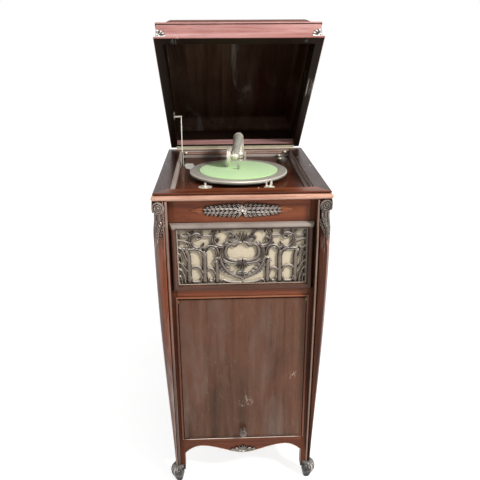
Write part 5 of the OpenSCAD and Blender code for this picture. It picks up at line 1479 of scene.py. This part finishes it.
# Each light's name, place, the power it takes a share of, that share, and its size.
LAMPS = (
    ("key", (1.9, -1.9, 2.6), "key_power", 1.0, 0.45),
    ("fill", (-2.2, -1.8, 1.7), "fill_power", 1.0, 1.8),
    ("edge", (2.0, -1.6, 0.35), "fill_power", 0.9, 0.35),
    ("top", (0.3, -0.7, 3.3), "fill_power", 2.2, 1.2),
)
LAMP_AIM = Vector((0, -0.05, 0.75))
FLOOR_REACH, FLOOR_DROP = 9.0, 0.0002
# The camera's place in millimetres, and how far it looks down, to the right and leans, in degrees.
EYE = (-64.5, -1771.7, 1403.8)
PITCH, YAW, LEAN = 20.48, 2.21, 0.3


def seen(nodes):
    """1 for rays that show the background: from the camera, or off metal and glass."""
    path = nodes.node("LightPath", {}).node.outputs
    glossy = nodes.sum("ADD", path["Is Camera Ray"], path["Is Glossy Ray"], clamp=True)
    return nodes.sum("ADD", glossy, path["Is Transmission Ray"], clamp=True)


class SetStage(bpy.types.Operator):
    """Lays the pale floor and sets the lights, the room and the camera"""

    bl_idname = "gramophone.stage"
    bl_label = "Stage"

    def execute(self, context):
        studio = context.scene.gramophone_studio
        mesh = bpy.data.meshes.new("floor")
        corners = [(-1, -1), (1, -1), (1, 1), (-1, 1)]
        mesh.from_pydata([(FLOOR_REACH * x, FLOOR_REACH * y, 0) for x, y in corners], [], [[0, 1, 2, 3]])
        floor = bpy.data.objects.new("floor", mesh)
        context.scene.collection.objects.link(floor)
        floor.location.z = -FLOOR_DROP
        mesh.materials.append(self.pale())
        self.room(context, studio.sky)
        for name, at, power, share, size in LAMPS:
            lamp = bpy.data.lights.new(name, "AREA")
            lamp.energy, lamp.size = getattr(studio, power) * share, size
            light = bpy.data.objects.new(name, lamp)
            context.scene.collection.objects.link(light)
            light.location = at
            light.rotation_mode = "QUATERNION"
            light.rotation_quaternion = (LAMP_AIM - Vector(at)).to_track_quat("-Z", "Y")
        self.camera(context, studio.lens)
        context.scene.view_settings.view_transform = "Standard"
        return {"FINISHED"}

    def pale(self):
        """A floor that stays white to the camera, apart from the soft shadow on it."""
        matt = {"Base Color": (0.96, 0.96, 0.96, 1), "Roughness": 0.9, "Specular IOR Level": 0.1}
        look = Look("pale_floor", matt)
        far = look.node("VectorMath", {0: look.place}, 1, operation="LENGTH")
        strength = look.spread(far, 0.8, 4.0, 1.40, 1.66)
        glow = look.node("Emission", {"Color": (1, 1, 1, 1), "Strength": strength})
        share = look.sum("MULTIPLY", seen(look), 0.6)
        blend = look.node("MixShader", {0: share, 1: look.shader.outputs[0], 2: glow})
        look.tree.links.new(blend, look.tree.nodes["Material Output"].inputs[0])
        return look.material

    def room(self, context, strength):
        """Even light from all round, and white where the background is seen."""
        world = bpy.data.worlds.new("room")
        context.scene.world = world
        world.use_nodes = True
        nodes = Nodes(world.node_tree)
        back = nodes.tree.nodes["Background"]
        back.inputs[0].default_value = (1, 1, 1, 1)
        nodes.tree.links.new(nodes.spread(seen(nodes), 0.0, 1.0, strength, 1.0), back.inputs[1])

    def camera(self, context, lens):
        """The photograph's view: its place, direction and slight roll."""
        pitch, yaw, lean = (math.radians(a) for a in (PITCH, YAW, LEAN))
        ahead = Vector((math.sin(yaw) * math.cos(pitch), math.cos(yaw) * math.cos(pitch), -math.sin(pitch)))
        right = ahead.cross(Vector((0, 0, 1))).normalized()
        up = right.cross(ahead)
        leaning_up = up * math.cos(lean) + right * math.sin(lean)
        leaning_right = ahead.cross(leaning_up)
        data = bpy.data.cameras.new("camera")
        data.lens, data.sensor_width = lens, 36
        data.clip_start, data.clip_end = 0.05, 60
        camera = bpy.data.objects.new("camera", data)
        context.scene.collection.objects.link(camera)
        turn = Matrix((leaning_right, leaning_up, -ahead)).transposed().to_4x4()
        camera.matrix_world = Matrix.Translation(spot(*EYE)) @ turn
        context.scene.camera = camera


# ---------- panel and start ----------


class GramophonePanel(bpy.types.Panel):
    """Lists the pieces and their settings"""

    bl_idname = "VIEW3D_PT_gramophone"
    bl_label = "Gramophone Cabinet"
    bl_space_type = "VIEW_3D"
    bl_region_type = "UI"
    bl_category = "Gramophone"

    def draw(self, context):
        for group_name, _ in GROUPS:
            group = getattr(context.scene, group_name)
            for name in group.__annotations__:
                self.layout.prop(group, name)
        for step in STEPS:
            self.layout.operator(step.bl_idname)


STEPS = (SetStage, DressFrame, DressLegs, DressGrille, DressCarvings, DressLid, DressTurntable, DressTonearm,
    DressWell, DressFittings)
GROUPS = (("gramophone_sizes", GramophoneSizes), ("gramophone_colours", GramophoneColours),
    ("gramophone_studio", GramophoneStudio))


def register():
    for kind in [group for _, group in GROUPS] + list(STEPS) + [GramophonePanel]:
        bpy.utils.register_class(kind)
    for name, group in GROUPS:
        setattr(bpy.types.Scene, name, bpy.props.PointerProperty(type=group))


def unregister():
    for name, _ in GROUPS:
        delattr(bpy.types.Scene, name)
    for kind in [GramophonePanel] + list(STEPS) + [group for _, group in GROUPS]:
        bpy.utils.unregister_class(kind)


def main():
    register()
    for step in STEPS:
        area, name = step.bl_idname.split(".")
        getattr(getattr(bpy.ops, area), name)()


if __name__ == "__main__":
    main()
